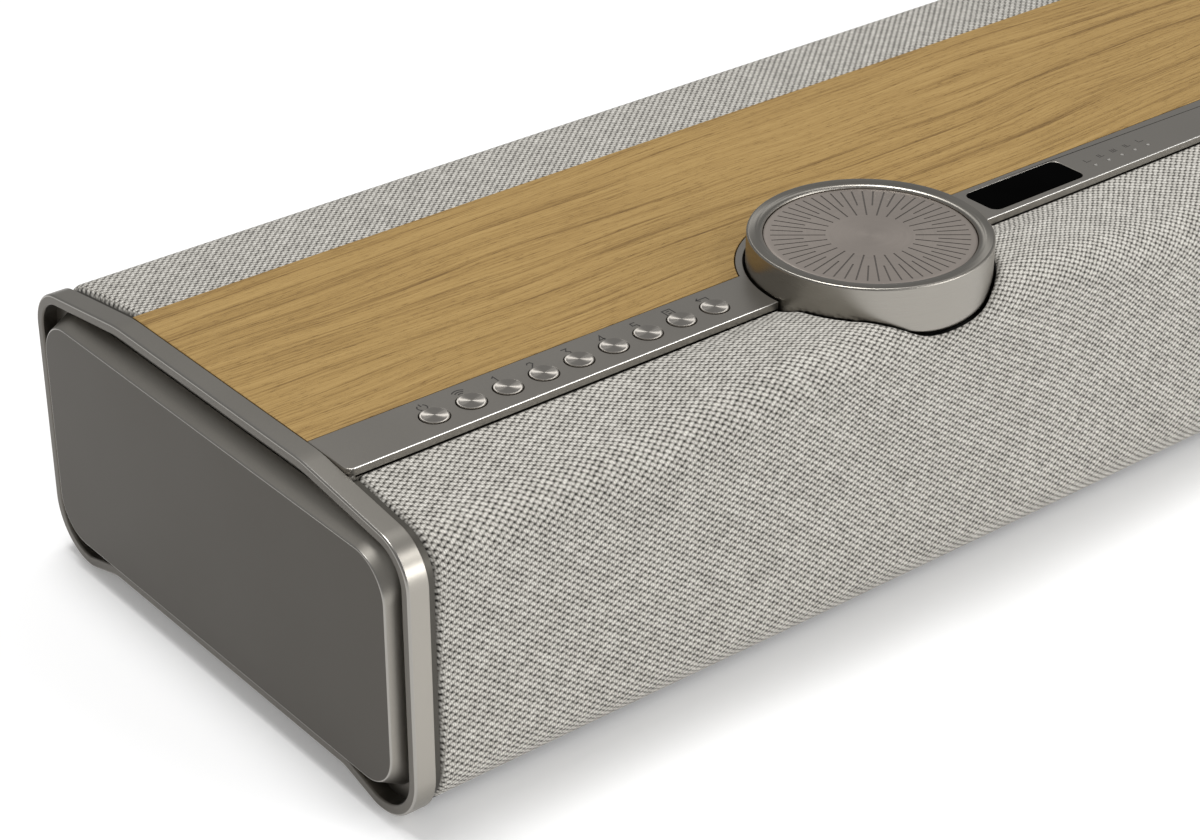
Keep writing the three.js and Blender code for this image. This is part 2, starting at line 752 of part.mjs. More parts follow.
function cabinetTop() {
  const shaftHole = cylinderZ(BEARING_RADIUS + GAP, [CEILING_BOTTOM - 1, DECK + 1], DIAL_X, DIAL_Y);
  return box(BOARD_SPAN, LID_DEPTH, [CEILING_BOTTOM, DECK]).subtract(shaftHole);
}

function cabinetBack() {
  return box(BOARD_SPAN, [BACK_FRONT, BACK_REAR], INSIDE_HEIGHT).subtract(baySpace(GAP));
}

function frontBaffle() {
  const span = [BAFFLE_FRONT - 1, BAFFLE_REAR + 1];
  const holes = WOOFER_X.map((x) => cylinderY(WOOFER_HOLE_RADIUS, span, x, DRIVER_Z));
  holes.push(...TWEETER_X.map((x) => cylinderY(TWEETER_HOLE_RADIUS, span, x, DRIVER_Z, 20)));
  return cut(box(BOARD_SPAN, [BAFFLE_FRONT, BAFFLE_REAR], INSIDE_HEIGHT), holes);
}

function bulkhead(side) {
  const x = side * BULKHEAD_X;
  const half = BULKHEAD_THICKNESS / 2;
  return box([x - half, x + half], [BAFFLE_REAR + GAP, BACK_FRONT - GAP], INSIDE_HEIGHT);
}

// ---------------------------------------------------------------- drivers

// Basket and magnet of a woofer. Y is counted from the face of the baffle.
function wooferChassis(x) {
  const profile = [
    [0, 26],
    [13, 26],
    [28, 9],
    [28, -2.8],
    [36, -2.8],
    [36, -GAP],
    [31.2, -GAP],
    [31.2, 9.5],
    [18.5, 27],
    [22, 27],
    [22, 42],
    [0, 42],
  ];
  return turnedY(shifted(profile), DRIVER_FACETS, x, DRIVER_Z);
}

function shifted(profile) {
  return profile.map(([radius, y]) => [radius, y + BAFFLE_FRONT]);
}

// Cone, dust cap and voice coil former.
function wooferCone(x) {
  const profile = [
    [0, 5],
    [6, 6],
    [10, 8.5],
    [26.2, -3.6],
    [27, -2.8],
    [11, 11],
    [9.5, 11],
    [9.5, 21],
    [8.3, 21],
    [8.3, 10],
    [0, 7],
  ];
  return turnedY(shifted(profile), DRIVER_FACETS, x, DRIVER_Z);
}

// A half roll of rubber between the cone and the basket.
function wooferSurround(x) {
  const middle = 30.5;
  const foot = -3.1;
  const steps = 3;
  const arc = (radius, from, to) => {
    const points = [];
    for (let k = 0; k <= steps; k += 1) {
      const turn = from + ((to - from) * k) / steps;
      points.push([middle - radius * Math.cos(turn), foot - radius * Math.sin(turn)]);
    }
    return points;
  };
  const profile = [...arc(3.2, 0, Math.PI), ...arc(2.2, Math.PI, 0)];
  return turnedY(shifted([...profile, profile[0]]), DRIVER_FACETS, x, DRIVER_Z);
}

function tweeter(x) {
  const profile = [
    [0, -5.5],
    [5, -4.8],
    [9, -3],
    [11, -1],
    [13, -1],
    [14, -2.8],
    [19, -2.8],
    [19, -GAP],
    [16, -GAP],
    [16, 16],
    [0, 16],
  ];
  return turnedY(shifted(profile), 20, x, DRIVER_Z);
}

// ---------------------------------------------------------------- electronics

const BOARD_FLOOR = FLOOR_TOP + 3;

// The main board, on four pillars, with its chips.
function mainBoard() {
  const board = box([-138, 30], [62, 150], [BOARD_FLOOR, BOARD_FLOOR + BOARD_THICKNESS]);
  const pillars = [];
  for (const x of [-132, 24]) {
    for (const y of [68, 144]) {
      pillars.push(cylinderZ(3, [FLOOR_TOP + GAP, BOARD_FLOOR + 0.5], x, y, 8));
    }
  }
  const top = BOARD_FLOOR + BOARD_THICKNESS;
  const chips = [
    box([-40, -18], [90, 112], [top - 0.5, top + 3]),
    box([-10, 4], [80, 94], [top - 0.5, top + 2]),
    box([-12, 10], [120, 134], [top - 0.5, top + 4]),
  ];
  return join([board, ...pillars, ...chips]);
}

// Power supply: a board with a transformer and two capacitors.
function powerSupply() {
  const board = box([42, 140], [80, 168], [BOARD_FLOOR, BOARD_FLOOR + BOARD_THICKNESS]);
  const top = BOARD_FLOOR + BOARD_THICKNESS;
  const pillars = [48, 134].flatMap((x) => [86, 162].map((y) => (
    cylinderZ(3, [FLOOR_TOP + GAP, BOARD_FLOOR + 0.5], x, y, 8)
  )));
  const transformer = box([92, 128], [100, 132], [top - 0.5, top + 30]);
  const capacitors = [54, 76].map((x) => cylinderZ(9, [top - 0.5, top + 32], x, 108, 14));
  return join([board, ...pillars, transformer, ...capacitors]);
}

// A finned block over the amplifier chips.
function heatSink() {
  const base = BOARD_FLOOR + BOARD_THICKNESS + GAP;
  const block = box([-124, -64], [82, 142], [base, base + 5]);
  const fins = [];
  for (let i = 0; i < 6; i += 1) {
    const x = -124 + i * 11.4;
    fins.push(box([x, x + 3], [82, 142], [base + 4, base + 28]));
  }
  return join([block, ...fins]);
}

// ---------------------------------------------------------------- connector bay

// Sockets are [name, middle x, middle z, width, height, depth of the hole]
const SOCKETS = [
  ["hdmi_socket", -30, 45, 17, 8, 9],
  ["network_socket", -4, 45, 16, 14, 12],
  ["mains_inlet", 28, 45, 22, 14, 13],
];
const SOCKET_WALL = 1.4;
const SOCKET_PROUD = 1.5;
const SOCKET_BODY = 18;
const PLATE_REAR = BACK_FRONT - GAP;

function socketSpan([, x, z, width, height], margin) {
  return [
    [x - width / 2 - margin, x + width / 2 + margin],
    [z - height / 2 - margin, z + height / 2 + margin],
  ];
}

function socketBody(socket) {
  const [name, x, z, , , hole] = socket;
  const mouth = PLATE_REAR + SOCKET_PROUD;
  const [bodyX, bodyZ] = socketSpan(socket, 0);
  const [holeX, holeZ] = socketSpan(socket, -SOCKET_WALL);
  const body = box(bodyX, [mouth - SOCKET_BODY, mouth], bodyZ);
  const hollow = box(holeX, [mouth - hole, mouth + 1], holeZ);
  if (name !== "mains_inlet") return body.subtract(hollow);
  const pinSpan = [mouth - hole - 1, mouth - 3];
  const pins = [-4.3, 4.3].map((offset) => cylinderY(1.2, pinSpan, x + offset, z, 10));
  return join([body.subtract(hollow), ...pins]);
}

function connectorPlate() {
  const margin = 4;
  const plate = box(
    [-BAY_WIDTH / 2 - margin, BAY_WIDTH / 2 + margin],
    [PLATE_REAR - PLATE_THICKNESS, PLATE_REAR],
    [BAY_BOTTOM - margin, BAY_TOP + margin],
  );
  const holes = SOCKETS.map((socket) => {
    const [holeX, holeZ] = socketSpan(socket, GAP);
    return box(holeX, [PLATE_REAR - PLATE_THICKNESS - 1, PLATE_REAR + 1], holeZ);
  });
  return cut(plate, holes);
}

// The four walls of the bay, from the plate out to the cloth.
function bayFrame() {
  const depth = [BACK_FRONT + GAP, DEPTH - CLOTH_INSET];
  const outer = box([-BAY_WIDTH / 2, BAY_WIDTH / 2], depth, [BAY_BOTTOM, BAY_TOP]);
  const inner = box(
    [-BAY_WIDTH / 2 + BAY_WALL, BAY_WIDTH / 2 - BAY_WALL],
    [BACK_FRONT - 1, DEPTH + 1],
    [BAY_BOTTOM + BAY_WALL, BAY_TOP - BAY_WALL],
  );
  return outer.subtract(inner);
}

// ---------------------------------------------------------------- putting it together

for (const [side, word] of [[-1, "left"], [1, "right"]]) {
  add(`end_frame_${word}`, endFrame(side), "satinMetal");
  add(`end_panel_${word}`, endPanel(side), "darkMetal");
  add(`bulkhead_${word}`, bulkhead(side), "fibreboard");
}

const oak = box([-TOP_HALF_LENGTH, TOP_HALF_LENGTH], [WOOD_FRONT, WOOD_REAR], [DECK + GAP, HEIGHT]);
add("wood_top_panel", oak.subtract(dialSpace(RIM_OUTER_RADIUS + GAP, DECK)), "oak");
add("control_strip", controlStrip(), "satinMetal");

for (let i = 0; i < BUTTON_COUNT; i += 1) {
  add(`button_${i + 1}`, button(buttonX(i)), "spunMetal");
}
add("button_board", buttonBoard(), "board");
add("display_window", alongZ(displayShape(0), [HEIGHT - STRIP_THICKNESS, HEIGHT]), "glossBlack");
add("display_module", displayModule(), "board");
add("status_light_guide", lightGuide(), "clearPlastic");

add("volume_dial", dialBody(), "spunMetal");
add("dial_disc", dialDisc(), "spunMetal");
add("dial_shaft", dialShaft(), "steel");
add("dial_cup", dialCup(), "greyPlastic");
add("dial_bearing", dialBearing(), "steel");
add("rotary_encoder", rotaryEncoder(), "greyPlastic");

add("front_fabric", frontFabric(), "cloth");
add("rear_fabric", rearFabric(), "cloth");
add("front_grille_frame", frontGrilleFrame(), "blackPlastic");
add("rear_grille_frame", rearGrilleFrame(), "blackPlastic");
add("base_cover", baseCover(), "blackPlastic");
for (const [name, x, y] of FEET) {
  add(name, alongZ(footShape(x, y, 0), [-FOOT_HEIGHT, FOOT_POCKET_TOP - GAP]), "rubber");
}

add("cabinet_top", cabinetTop(), "fibreboard");
add("cabinet_floor", box(BOARD_SPAN, LID_DEPTH, [FLOOR_BOTTOM, FLOOR_TOP]), "fibreboard");
add("front_baffle", frontBaffle(), "fibreboard");
add("cabinet_back", cabinetBack(), "fibreboard");

WOOFER_X.forEach((x, i) => {
  const word = WOOFER_NAMES[i];
  add(`woofer_chassis_${word}`, wooferChassis(x), "magnet");
  add(`woofer_cone_${word}`, wooferCone(x), "paper");
  add(`woofer_surround_${word}`, wooferSurround(x), "rubber");
});
TWEETER_X.forEach((x, i) => add(`tweeter_${TWEETER_NAMES[i]}`, tweeter(x), "blackPlastic"));

add("main_board", mainBoard(), "board");
add("power_supply", powerSupply(), "board");
add("heat_sink", heatSink(), "steel");

add("connector_plate", connectorPlate(), "blackPlastic");
add("connector_bay_frame", bayFrame(), "blackPlastic");
for (const socket of SOCKETS) {
  add(socket[0], socketBody(socket), "steel");
}

export default soundbar;
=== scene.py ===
import json
import math
from functools import partialmethod

import bmesh
import bpy
import numpy as np
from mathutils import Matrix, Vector
from mathutils.geometry import tessellate_polygon

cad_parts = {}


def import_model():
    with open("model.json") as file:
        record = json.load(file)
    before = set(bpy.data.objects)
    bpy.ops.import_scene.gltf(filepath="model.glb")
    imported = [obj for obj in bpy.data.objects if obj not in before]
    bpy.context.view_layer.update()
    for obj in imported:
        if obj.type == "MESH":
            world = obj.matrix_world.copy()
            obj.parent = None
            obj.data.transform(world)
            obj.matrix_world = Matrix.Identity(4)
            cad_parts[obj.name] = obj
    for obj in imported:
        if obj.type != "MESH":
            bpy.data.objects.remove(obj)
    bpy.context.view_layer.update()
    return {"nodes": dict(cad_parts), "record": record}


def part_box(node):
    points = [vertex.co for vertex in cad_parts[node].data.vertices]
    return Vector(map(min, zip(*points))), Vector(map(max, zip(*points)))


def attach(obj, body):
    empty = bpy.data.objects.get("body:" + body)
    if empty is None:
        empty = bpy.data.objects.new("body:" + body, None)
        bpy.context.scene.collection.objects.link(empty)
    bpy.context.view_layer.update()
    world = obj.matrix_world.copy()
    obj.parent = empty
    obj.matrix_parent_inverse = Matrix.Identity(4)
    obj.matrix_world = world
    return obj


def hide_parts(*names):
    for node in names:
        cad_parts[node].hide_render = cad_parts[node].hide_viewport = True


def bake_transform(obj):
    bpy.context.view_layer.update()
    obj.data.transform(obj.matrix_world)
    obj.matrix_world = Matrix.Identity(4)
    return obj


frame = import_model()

# The pieces are worked out in millimetres in the bar's own place: X from its middle, Y
# rearwards from the front of the end frames, and Z up from the end frames' lowest point.
MM = 0.001
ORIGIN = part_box("end_frame_left")[0] * Vector((0, 1, 1))


def bar_box(node):
    """The lowest and highest corner of a CAD node, in the bar's millimetres."""
    return [(corner - ORIGIN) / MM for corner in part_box(node)]


def row_point(point):
    """A point in the row frame, in metres, from one in the bar's millimetres."""
    return ORIGIN + Vector(point) * MM


def plan(node):
    """The centre of a round CAD node seen from above, and its radius."""
    low, high = bar_box(node)
    return ((low.x + high.x) / 2, (low.y + high.y) / 2), (high.x - low.x) / 2


# The outline of the bar seen from its end, as (y, z, corner radius), anticlockwise
DEPTH = 198.0
BAR_FRONT = [(0, 0, 18), (20, 0, 10), (36, 4.5, 10)]
BAR_TOP = [(50, 100, 40), (0, 93, 14.5)]
ARC_STEP = math.radians(6)
MID_HEIGHT = 50
SHARP_BEVEL = 0.01

BAND_WIDTH = 7.0
BAND_WALL = 3.5
BAND_CHAMFER = 0.2
BAND_ROUND = 0.7
WEB_THICKNESS = 2.0
SPIGOT_INSET = 1.9
SPIGOT_THICKNESS = 1.6
PANEL_CORNER = 15.0
PANEL_DRAFT = 1.8
PANEL_SPREAD = 1.9
PANEL_EDGE = 0.5

CLOTH_INSET = 1.1
REAR_CLOTH_INSET = 0.3
CLOTH_THICKNESS = 1.2
CLOTH_REACH = 0.42
PATH_STEP = 0.4
END_ROLL = 2.2
TOP_ROLL = 0.12
HOLE_ROLL = 1.0
HOLE_BOTTOM = 91.2
HOLE_TOP = 125
HOLE_FOOT = 4.5
UNDER_EDGE = 9.5
FRONT_EDGE = 36.3
REAR_EDGE = 150.1

# Round the dial the cloth is drawn up into a collar: the front top corner moves here, and
# the cloth slopes up to it from the strip's edge
COLLAR_CORNER = (-1.7, 101.7, 13.0)
COLLAR_SLOPE_START = (36.5, 5.0)
COLLAR_SLOPE_END = (28.0, 101.2, 6.0)
COLLAR_RUN = 85.0
COLLAR_STEPS = 24

STRIP_THICKNESS = 3.0
STRIP_LEG = 2.0
LEG_OVERLAP = 0.6
STRIP_REACH = 0.22
STRIP_CORNER = 2.2
STRIP_BEVEL = 0.27
RIM_INNER = 38.9
RIM_OUTER = 41.2
CLOTH_HOLE = 39.1
BUTTON_COUNT = 9
BUTTON_RADIUS = 4.35
BUTTON_STEM = 1.6
BUTTON_GAP = 0.3
BUTTON_BEVEL = 0.22
DISPLAY_CORNER = 2.8
DISPLAY_BEVEL = 0.2
LIGHT_COUNT = 5
LIGHT_END = 2.5
LIGHT_HALF_WIDTH = 0.75
LIGHT_HALF_DEPTH = 0.5
LIGHT_CORNER = 0.3
LIGHT_BEVEL = 0.08

DIAL_FOOT = 4.5
DIAL_EDGE = 0.8
DIAL_LIP_FLAT = 2.9
DIAL_LIP_DROP = 0.12
DISC_CLEARANCE = 0.15
DIAL_SEGMENTS = 160
DIAL_BORE = 3.3
BORE_DEPTH = 10
HUB_RADIUS = 4.0
DISC_LINES = 56
LINE_STARTS = (13.8, 20.7)
LINE_END = 30.7
LINE_WIDTH = 0.5
LINE_DEPTH = 0.15


# ---- outlines


def mirrored(corners):
    """The same corners on the rear side of the bar."""
    return [(DEPTH - y, z, radius) for y, z, radius in reversed(corners)]


BAR_CORNERS = BAR_FRONT + mirrored(BAR_FRONT) + mirrored(BAR_TOP) + BAR_TOP


def directions(corners, i):
    """The unit directions into and out of a corner, and the turn between them."""
    here = Vector(corners[i][:2])
    before = (here - Vector(corners[i - 1][:2])).normalized()
    after = (Vector(corners[(i + 1) % len(corners)][:2]) - here).normalized()
    turn = math.atan2(before.x * after.y - before.y * after.x, before.dot(after))
    return before, after, turn


def inset_corners(corners, inset):
    """The corners of the outline moved inwards, with their radii kept concentric."""
    moved = []
    for i, (u, v, radius) in enumerate(corners):
        before, after, turn = directions(corners, i)
        normal = Vector((-before.y - after.y, before.x + after.x)) / (1 + before.dot(after))
        corner = Vector((u, v)) + normal * inset
        moved.append((corner.x, corner.y, radius - math.copysign(inset, turn)))
    return moved


def rounded(corners, step=ARC_STEP):
    """A closed loop of (u, v) points with an arc at each corner."""
    loop = []
    for i, (u, v, radius) in enumerate(corners):
        before, _, turn = directions(corners, i)
        side = math.copysign(1, turn)
        start = Vector((u, v)) - before * radius * math.tan(abs(turn) / 2)
        centre = start + Vector((-before.y, before.x)) * side * radius
        steps = max(1, math.ceil(abs(turn) / step))
        for k in range(steps + 1):
            angle = turn * k / steps
            arm = start - centre
            loop.append((
                centre.x + arm.x * math.cos(angle) - arm.y * math.sin(angle),
                centre.y + arm.x * math.sin(angle) + arm.y * math.cos(angle),
            ))
    return loop


def bar_loop(inset):
    return rounded(inset_corners(BAR_CORNERS, inset))


def collar_loop(inset, share):
    """The bar's outline with its front top corner moved a share of the way to the collar's."""
    shoulder, corner = BAR_TOP
    slope = (shoulder[1] - corner[1]) / shoulder[0]
    start_y, start_radius = COLLAR_SLOPE_START
    end_y, end_z, end_radius = COLLAR_SLOPE_END
    plain_z = corner[1] + slope * end_y
    front_top = [
        shoulder,
        (start_y, corner[1] + slope * start_y, start_radius),
        (end_y, plain_z + (end_z - plain_z) * share, end_radius),
        tuple(a + (b - a) * share for a, b in zip(corner, COLLAR_CORNER)),
    ]
    return rounded(inset_corners(BAR_CORNERS[: -len(BAR_TOP)] + front_top, inset))


def rectangle(u0, u1, v0, v1, radius, step=ARC_STEP):
    corners = [(u0, v0, radius), (u1, v0, radius), (u1, v1, radius), (u0, v1, radius)]
    return rounded(corners, step)


def arc(centre, radius, start, end, steps):
    """Points on an arc, with angles in degrees."""
    angles = np.radians(np.linspace(start, end, steps + 1))
    return [(centre[0] + radius * math.cos(a), centre[1] + radius * math.sin(a)) for a in angles]


def circle(centre, radius, steps, clockwise=False):
    ends = (360, 0) if clockwise else (0, 360)
    return arc(centre, radius, *ends, steps)[:-1]


def units(vectors):
    """The vectors, one in each row, scaled to length 1."""
    return vectors / np.linalg.norm(vectors, axis=1)[:, None]


def offset_loop(loop, distance):
    """The loop moved to its left, which is into the solid for outer loops and holes alike."""
    points = np.array(loop)
    before = units(points - np.roll(points, 1, 0))
    after = units(np.roll(points, -1, 0) - points)
    normal = np.stack([-before[:, 1] - after[:, 1], before[:, 0] + after[:, 0]], 1)
    scale = distance / (1 + (before * after).sum(1))
    return [tuple(p) for p in points + normal * scale[:, None]]


def fillet(radius, steps=4):
    """(inset, drop) pairs of a quarter round, from the wall to the face."""
    angles = np.linspace(0, math.pi / 2, steps + 1)
    return [(radius * (1 - math.cos(a)), radius * (1 - math.sin(a))) for a in angles]


def foot(radius, bottom, size):
    """(radius, z) points of a turned wall's rounded foot, from its underside to the wall."""
    return [(radius - inset, bottom + rise) for inset, rise in fillet(size, 8)[::-1]]


# ---- making meshes


def loft(rings):
    """Points and faces of a solid between rings, each a list of loops of 3-D points."""
    points = [p for ring in rings for loop in ring for p in loop]
    size = sum(len(loop) for loop in rings[0])
    faces = []
    for k in range(len(rings) - 1):
        start = k * size
        for loop in rings[0]:
            count = len(loop)
            for i in range(count):
                a, b = start + i, start + (i + 1) % count
                faces.append((a, b, b + size, a + size))
            start += count
    for k in (0, len(rings) - 1):
        loops = [[Vector(p) for p in loop] for loop in rings[k]]
        faces += [tuple(k * size + i for i in face) for face in tessellate_polygon(loops)]
    return points, faces


def plate(loops, z0, z1, bevels):
    """A flat solid with the given loops, whose upper edges are rounded by bevels."""
    rings = [[[(u, v, z0) for u, v in loop] for loop in loops]]
    for share, drop in fillet(1.0, 3):
        ring = []
        for loop, bevel in zip(loops, bevels):
            ring.append([(u, v, z1 - drop * bevel) for u, v in offset_loop(loop, share * bevel)])
        rings.append(ring)
    return loft(rings)


def turned(profile, centre, segments):
    """A solid turned about a vertical axis, from (radius, z) points that start and end on it."""
    points, faces, rows = [], [], []
    for radius, z in profile:
        ring = circle(centre, radius, segments) if radius > 0 else [centre]
        rows.append(range(len(points), len(points) + len(ring)))
        points += [(x, y, z) for x, y in ring]
    for low, high in zip(rows, rows[1:]):
        for k in range(segments):
            n = (k + 1) % segments
            if len(low) == 1:
                faces.append((low[0], high[n], high[k]))
            elif len(high) == 1:
                faces.append((low[k], low[n], high[0]))
            else:
                faces.append((low[k], low[n], high[n], high[k]))
    return points, faces


def joined(parts):
    """Points and faces of several solids as one list of each."""
    points, faces = [], []
    for some_points, some_faces in parts:
        faces += [tuple(i + len(points) for i in face) for face in some_faces]
        points += some_points
    return points, faces


def slice_at(x, loop):
    """A ring for loft: one loop of (y, z) points, at a place along the bar."""
    return [[(x, y, z) for y, z in loop]]


def link(name, data):
    obj = bpy.data.objects.new(name, data)
    bpy.context.scene.collection.objects.link(obj)
    return obj


def new_mesh(name, points, faces, materials=()):
    """A mesh from points in the bar's millimetres."""
    mesh = bpy.data.meshes.new(name)
    mesh.from_pydata([row_point(p) for p in points], [], faces)
    for material in materials:
        mesh.materials.append(material)
    return mesh


def clean(mesh):
    """Joins points that coincide, drops loose ones and turns every face outwards."""
    work = bmesh.new()
    work.from_mesh(mesh)
    bmesh.ops.remove_doubles(work, verts=work.verts, dist=1e-7)
    loose = [vertex for vertex in work.verts if not vertex.link_faces]
    bmesh.ops.delete(work, geom=loose, context="VERTS")
    bmesh.ops.recalc_face_normals(work, faces=work.faces)
    work.to_mesh(mesh)
    work.free()


def smooth(obj, angle=38):
    """Smooth shading that keeps the sharper edges and the flatness of large faces."""
    obj.data.shade_smooth()
    obj.data.set_sharp_from_angle(angle=math.radians(angle))
    weighted = obj.modifiers.new("weighted_normals", "WEIGHTED_NORMAL")
    weighted.keep_sharp = True


def solid(name, shape, materials, nodes=(), body="cabinet", face_materials=None, paint_of=None):
    """A closed piece that rides on a body and stands for CAD nodes.

    The materials go by the list face_materials, or by paint_of(middle, normal) of each face.
    """
    mesh = new_mesh(name, *shape, materials)
    if face_materials is not None:
        mesh.polygons.foreach_set("material_index", face_materials)
    clean(mesh)
    if paint_of is not None:
        for polygon in mesh.polygons:
            polygon.material_index = paint_of((polygon.center - ORIGIN) / MM, polygon.normal)
    obj = link(name, mesh)
    smooth(obj)
    if body is not None:
        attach(obj, body)
    if nodes:
        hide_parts(*nodes)
    return obj


# ---- materials


def add_node(tree, kind, inputs, **settings):
    """A shader node whose inputs are linked to fields or outputs, or set to plain values."""
    node = tree.nodes.new("ShaderNode" + kind)
    for key, value in settings.items():
        setattr(node, key, value)
    for key, value in inputs.items():
        value = getattr(value, "socket", value)
        if isinstance(value, bpy.types.NodeSocket):
            tree.links.new(value, node.inputs[key])
        else:
            node.inputs[key].default_value = value
    return node


class Field:
    """A number that varies over a surface. Arithmetic on fields adds Math nodes."""

    def __init__(self, tree, socket):
        self.tree = tree
        self.socket = socket

    def math(self, operation, *others):
        inputs = dict(enumerate((self, *others)))
        return Field(self.tree, add_node(self.tree, "Math", inputs, operation=operation).outputs[0])

    __add__ = partialmethod(math, "ADD")
    __sub__ = partialmethod(math, "SUBTRACT")
    __mul__ = partialmethod(math, "MULTIPLY")
    __truediv__ = partialmethod(math, "DIVIDE")
    sine = partialmethod(math, "SINE")
    power = partialmethod(math, "POWER")

    def step(self, start, end):
        """From 0 at start to 1 at end, and flat outside."""
        inputs = {"Value": self, "From Min": start, "From Max": end}
        node = add_node(self.tree, "MapRange", inputs, interpolation_type="SMOOTHSTEP")
        return Field(self.tree, node.outputs["Result"])


class Paint:
    """A material under way: a Principled shader and short ways to add nodes."""

    def __init__(self, name, **constants):
        self.material = bpy.data.materials.new(name)
        self.material.use_nodes = True
        self.tree = self.material.node_tree
        self.shader = self.tree.nodes["Principled BSDF"]
        for key, value in constants.items():
            self.shader.inputs[key.replace("_", " ")].default_value = value

    def node(self, kind, inputs=None, **settings):
        return add_node(self.tree, kind, inputs or {}, **settings)

    def coordinates(self, scale=(1, 1, 1), centre=(0, 0, 0)):
        """Places on the piece in the row frame, less a centre, and scaled."""
        place = self.node("TexCoord").outputs["Object"]
        moved = self.node("VectorMath", {0: place, 1: centre}, operation="SUBTRACT")
        scaled = self.node("VectorMath", {0: moved.outputs[0], 1: scale}, operation="MULTIPLY")
        return scaled.outputs[0]

    def parts(self, vector):
        split = self.node("SeparateXYZ", {0: vector})
        return [Field(self.tree, output) for output in split.outputs]

    def vector(self, x, y=0.0, z=0.0):
        return self.node("CombineXYZ", {0: x, 1: y, 2: z}).outputs[0]

    def noise(self, vector, scale=1.0, detail=2.0, roughness=0.5):
        inputs = {"Vector": vector, "Scale": scale, "Detail": detail, "Roughness": roughness}
        return Field(self.tree, self.node("TexNoise", inputs).outputs["Fac"])

    def random(self, vector):
        return Field(self.tree, self.node("TexWhiteNoise", {"Vector": vector}).outputs["Value"])

    def ramp(self, field, stops):
        node = self.node("ValToRGB", {0: field})
        elements = node.color_ramp.elements
        while len(elements) < len(stops):
            elements.new(0.5)
        for element, (place, colour) in zip(elements, stops):
            element.position = place
            element.color = (*colour, 1)
        return node.outputs[0]

    def colour(self, socket):
        self.tree.links.new(socket, self.shader.inputs["Base Color"])

    def tones(self, field, colour, contrast):
        """A base colour that is darker where the field is low and paler where it is high."""
        low, high = shade(colour, 1 - contrast), shade(colour, 1 + contrast)
        self.colour(self.ramp(field, [(0.3, low), (0.7, high)]))

    def rough(self, field):
        self.tree.links.new(field.socket, self.shader.inputs["Roughness"])

    def bump(self, field, height, strength=1.0):
        """Relief of the given height in metres, from a field that runs from 0 to 1."""
        node = self.node("Bump", {"Height": field, "Distance": height, "Strength": strength})
        self.tree.links.new(node.outputs[0], self.shader.inputs["Normal"])


def shade(colour, factor):
    return tuple(channel * factor for channel in colour)


def grained(name, colour, roughness, grain, relief, contrast=0.12, metallic=0.0, **constants):
    """A surface with fine grain, grain in metres, and slow changes of tone and gloss."""
    paint = Paint(name, Metallic=metallic, **constants)
    place = paint.coordinates()
    fine = paint.noise(place, 1 / grain, 2)
    slow = paint.noise(place, 14, 3)
    paint.tones(fine * 0.6 + slow * 0.4, colour, contrast)
    paint.rough(slow * 0.12 + fine * 0.06 + (roughness - 0.09))
    paint.bump(fine, relief)
    return paint.material


def brushed(name, colour, roughness, axis_scale, relief, contrast=0.08):
    """Metal with fine scratches, long where axis_scale is small."""
    paint = Paint(name, Metallic=1.0, Anisotropic=0.35)
    place = paint.coordinates(axis_scale)
    scratches = paint.noise(place, 1, 3, 0.65)
    slow = paint.noise(paint.coordinates(), 9, 2)
    paint.tones(scratches * 0.5 + slow * 0.5, colour, contrast)
    paint.rough(scratches * 0.12 + slow * 0.06 + (roughness - 0.09))
    paint.bump(scratches, relief)
    return paint.material


def spun(name, colour, roughness, centre, anisotropy, relief, contrast=0.06):
    """Metal turned about a vertical axis: fine rings, and a highlight drawn out across them."""
    paint = Paint(name, Metallic=1.0, Anisotropic=anisotropy)
    x, y, z = paint.parts(paint.coordinates(centre=row_point((*centre, 0))))
    radius = (x * x + y * y).math("SQRT")
    angle = y.math("ARCTAN2", x)
    rings = paint.noise(paint.vector(radius * 9000, angle * 1.2, z * 9000), 1, 3, 0.6)
    slow = paint.noise(paint.coordinates(), 30, 2)
    paint.tones(rings * 0.6 + slow * 0.4, colour, contrast)
    paint.rough(rings * 0.14 + (roughness - 0.07))
    paint.bump(rings, relief)
    tangent = paint.node("Tangent", direction_type="RADIAL", axis="Z")
    paint.tree.links.new(tangent.outputs[0], paint.shader.inputs["Tangent"])
    return paint.material


def oak():
    """Oiled oak: long growth rings and streaks along X, fine fibres and open pores."""
    paint = Paint("oiled_oak", Specular_IOR_Level=0.3, Coat_Weight=0.04, Coat_Roughness=0.35)
    x, y, z = paint.parts(paint.coordinates((1000, 1000, 1000)))
    wander = paint.noise(paint.vector(x * 0.0042, y * 0.012, z * 0.012), 1, 2, 0.45)
    across = y + wander * 30
    streaks = paint.noise(paint.vector(x * 0.0024, across * 0.17, z * 0.17), 1, 3, 0.55)
    rings = across * 0.12 + streaks * 1.3
    ring = rings - rings.math("FLOOR")
    late_wood = (ring * -1 + 1).power(7) * ring.step(0, 0.06)
    fibres = paint.noise(paint.vector(x * 0.025, across * 1.3, z * 1.3), 1, 3, 0.7)
    pores = paint.noise(paint.vector(x * 0.22, across * 2.8, z * 2.8), 1, 2, 0.7).step(0.55, 0.70)
    tone = streaks * 0.55 + fibres * 0.88 - late_wood * 0.25 - pores * 0.20 - 0.11
    stops = [
        (0.20, (0.130, 0.070, 0.0190)),
        (0.42, (0.236, 0.140, 0.0425)),
        (0.58, (0.342, 0.215, 0.0715)),
        (0.80, (0.412, 0.270, 0.0980)),
    ]
    paint.colour(paint.ramp(tone, stops))
    paint.rough(fibres * 0.15 + pores * 0.12 + 0.48)
    paint.bump(fibres * 0.5 - pores, 0.00006, 0.6)
    return paint.material


THREAD_HALF_WIDTH = 0.46


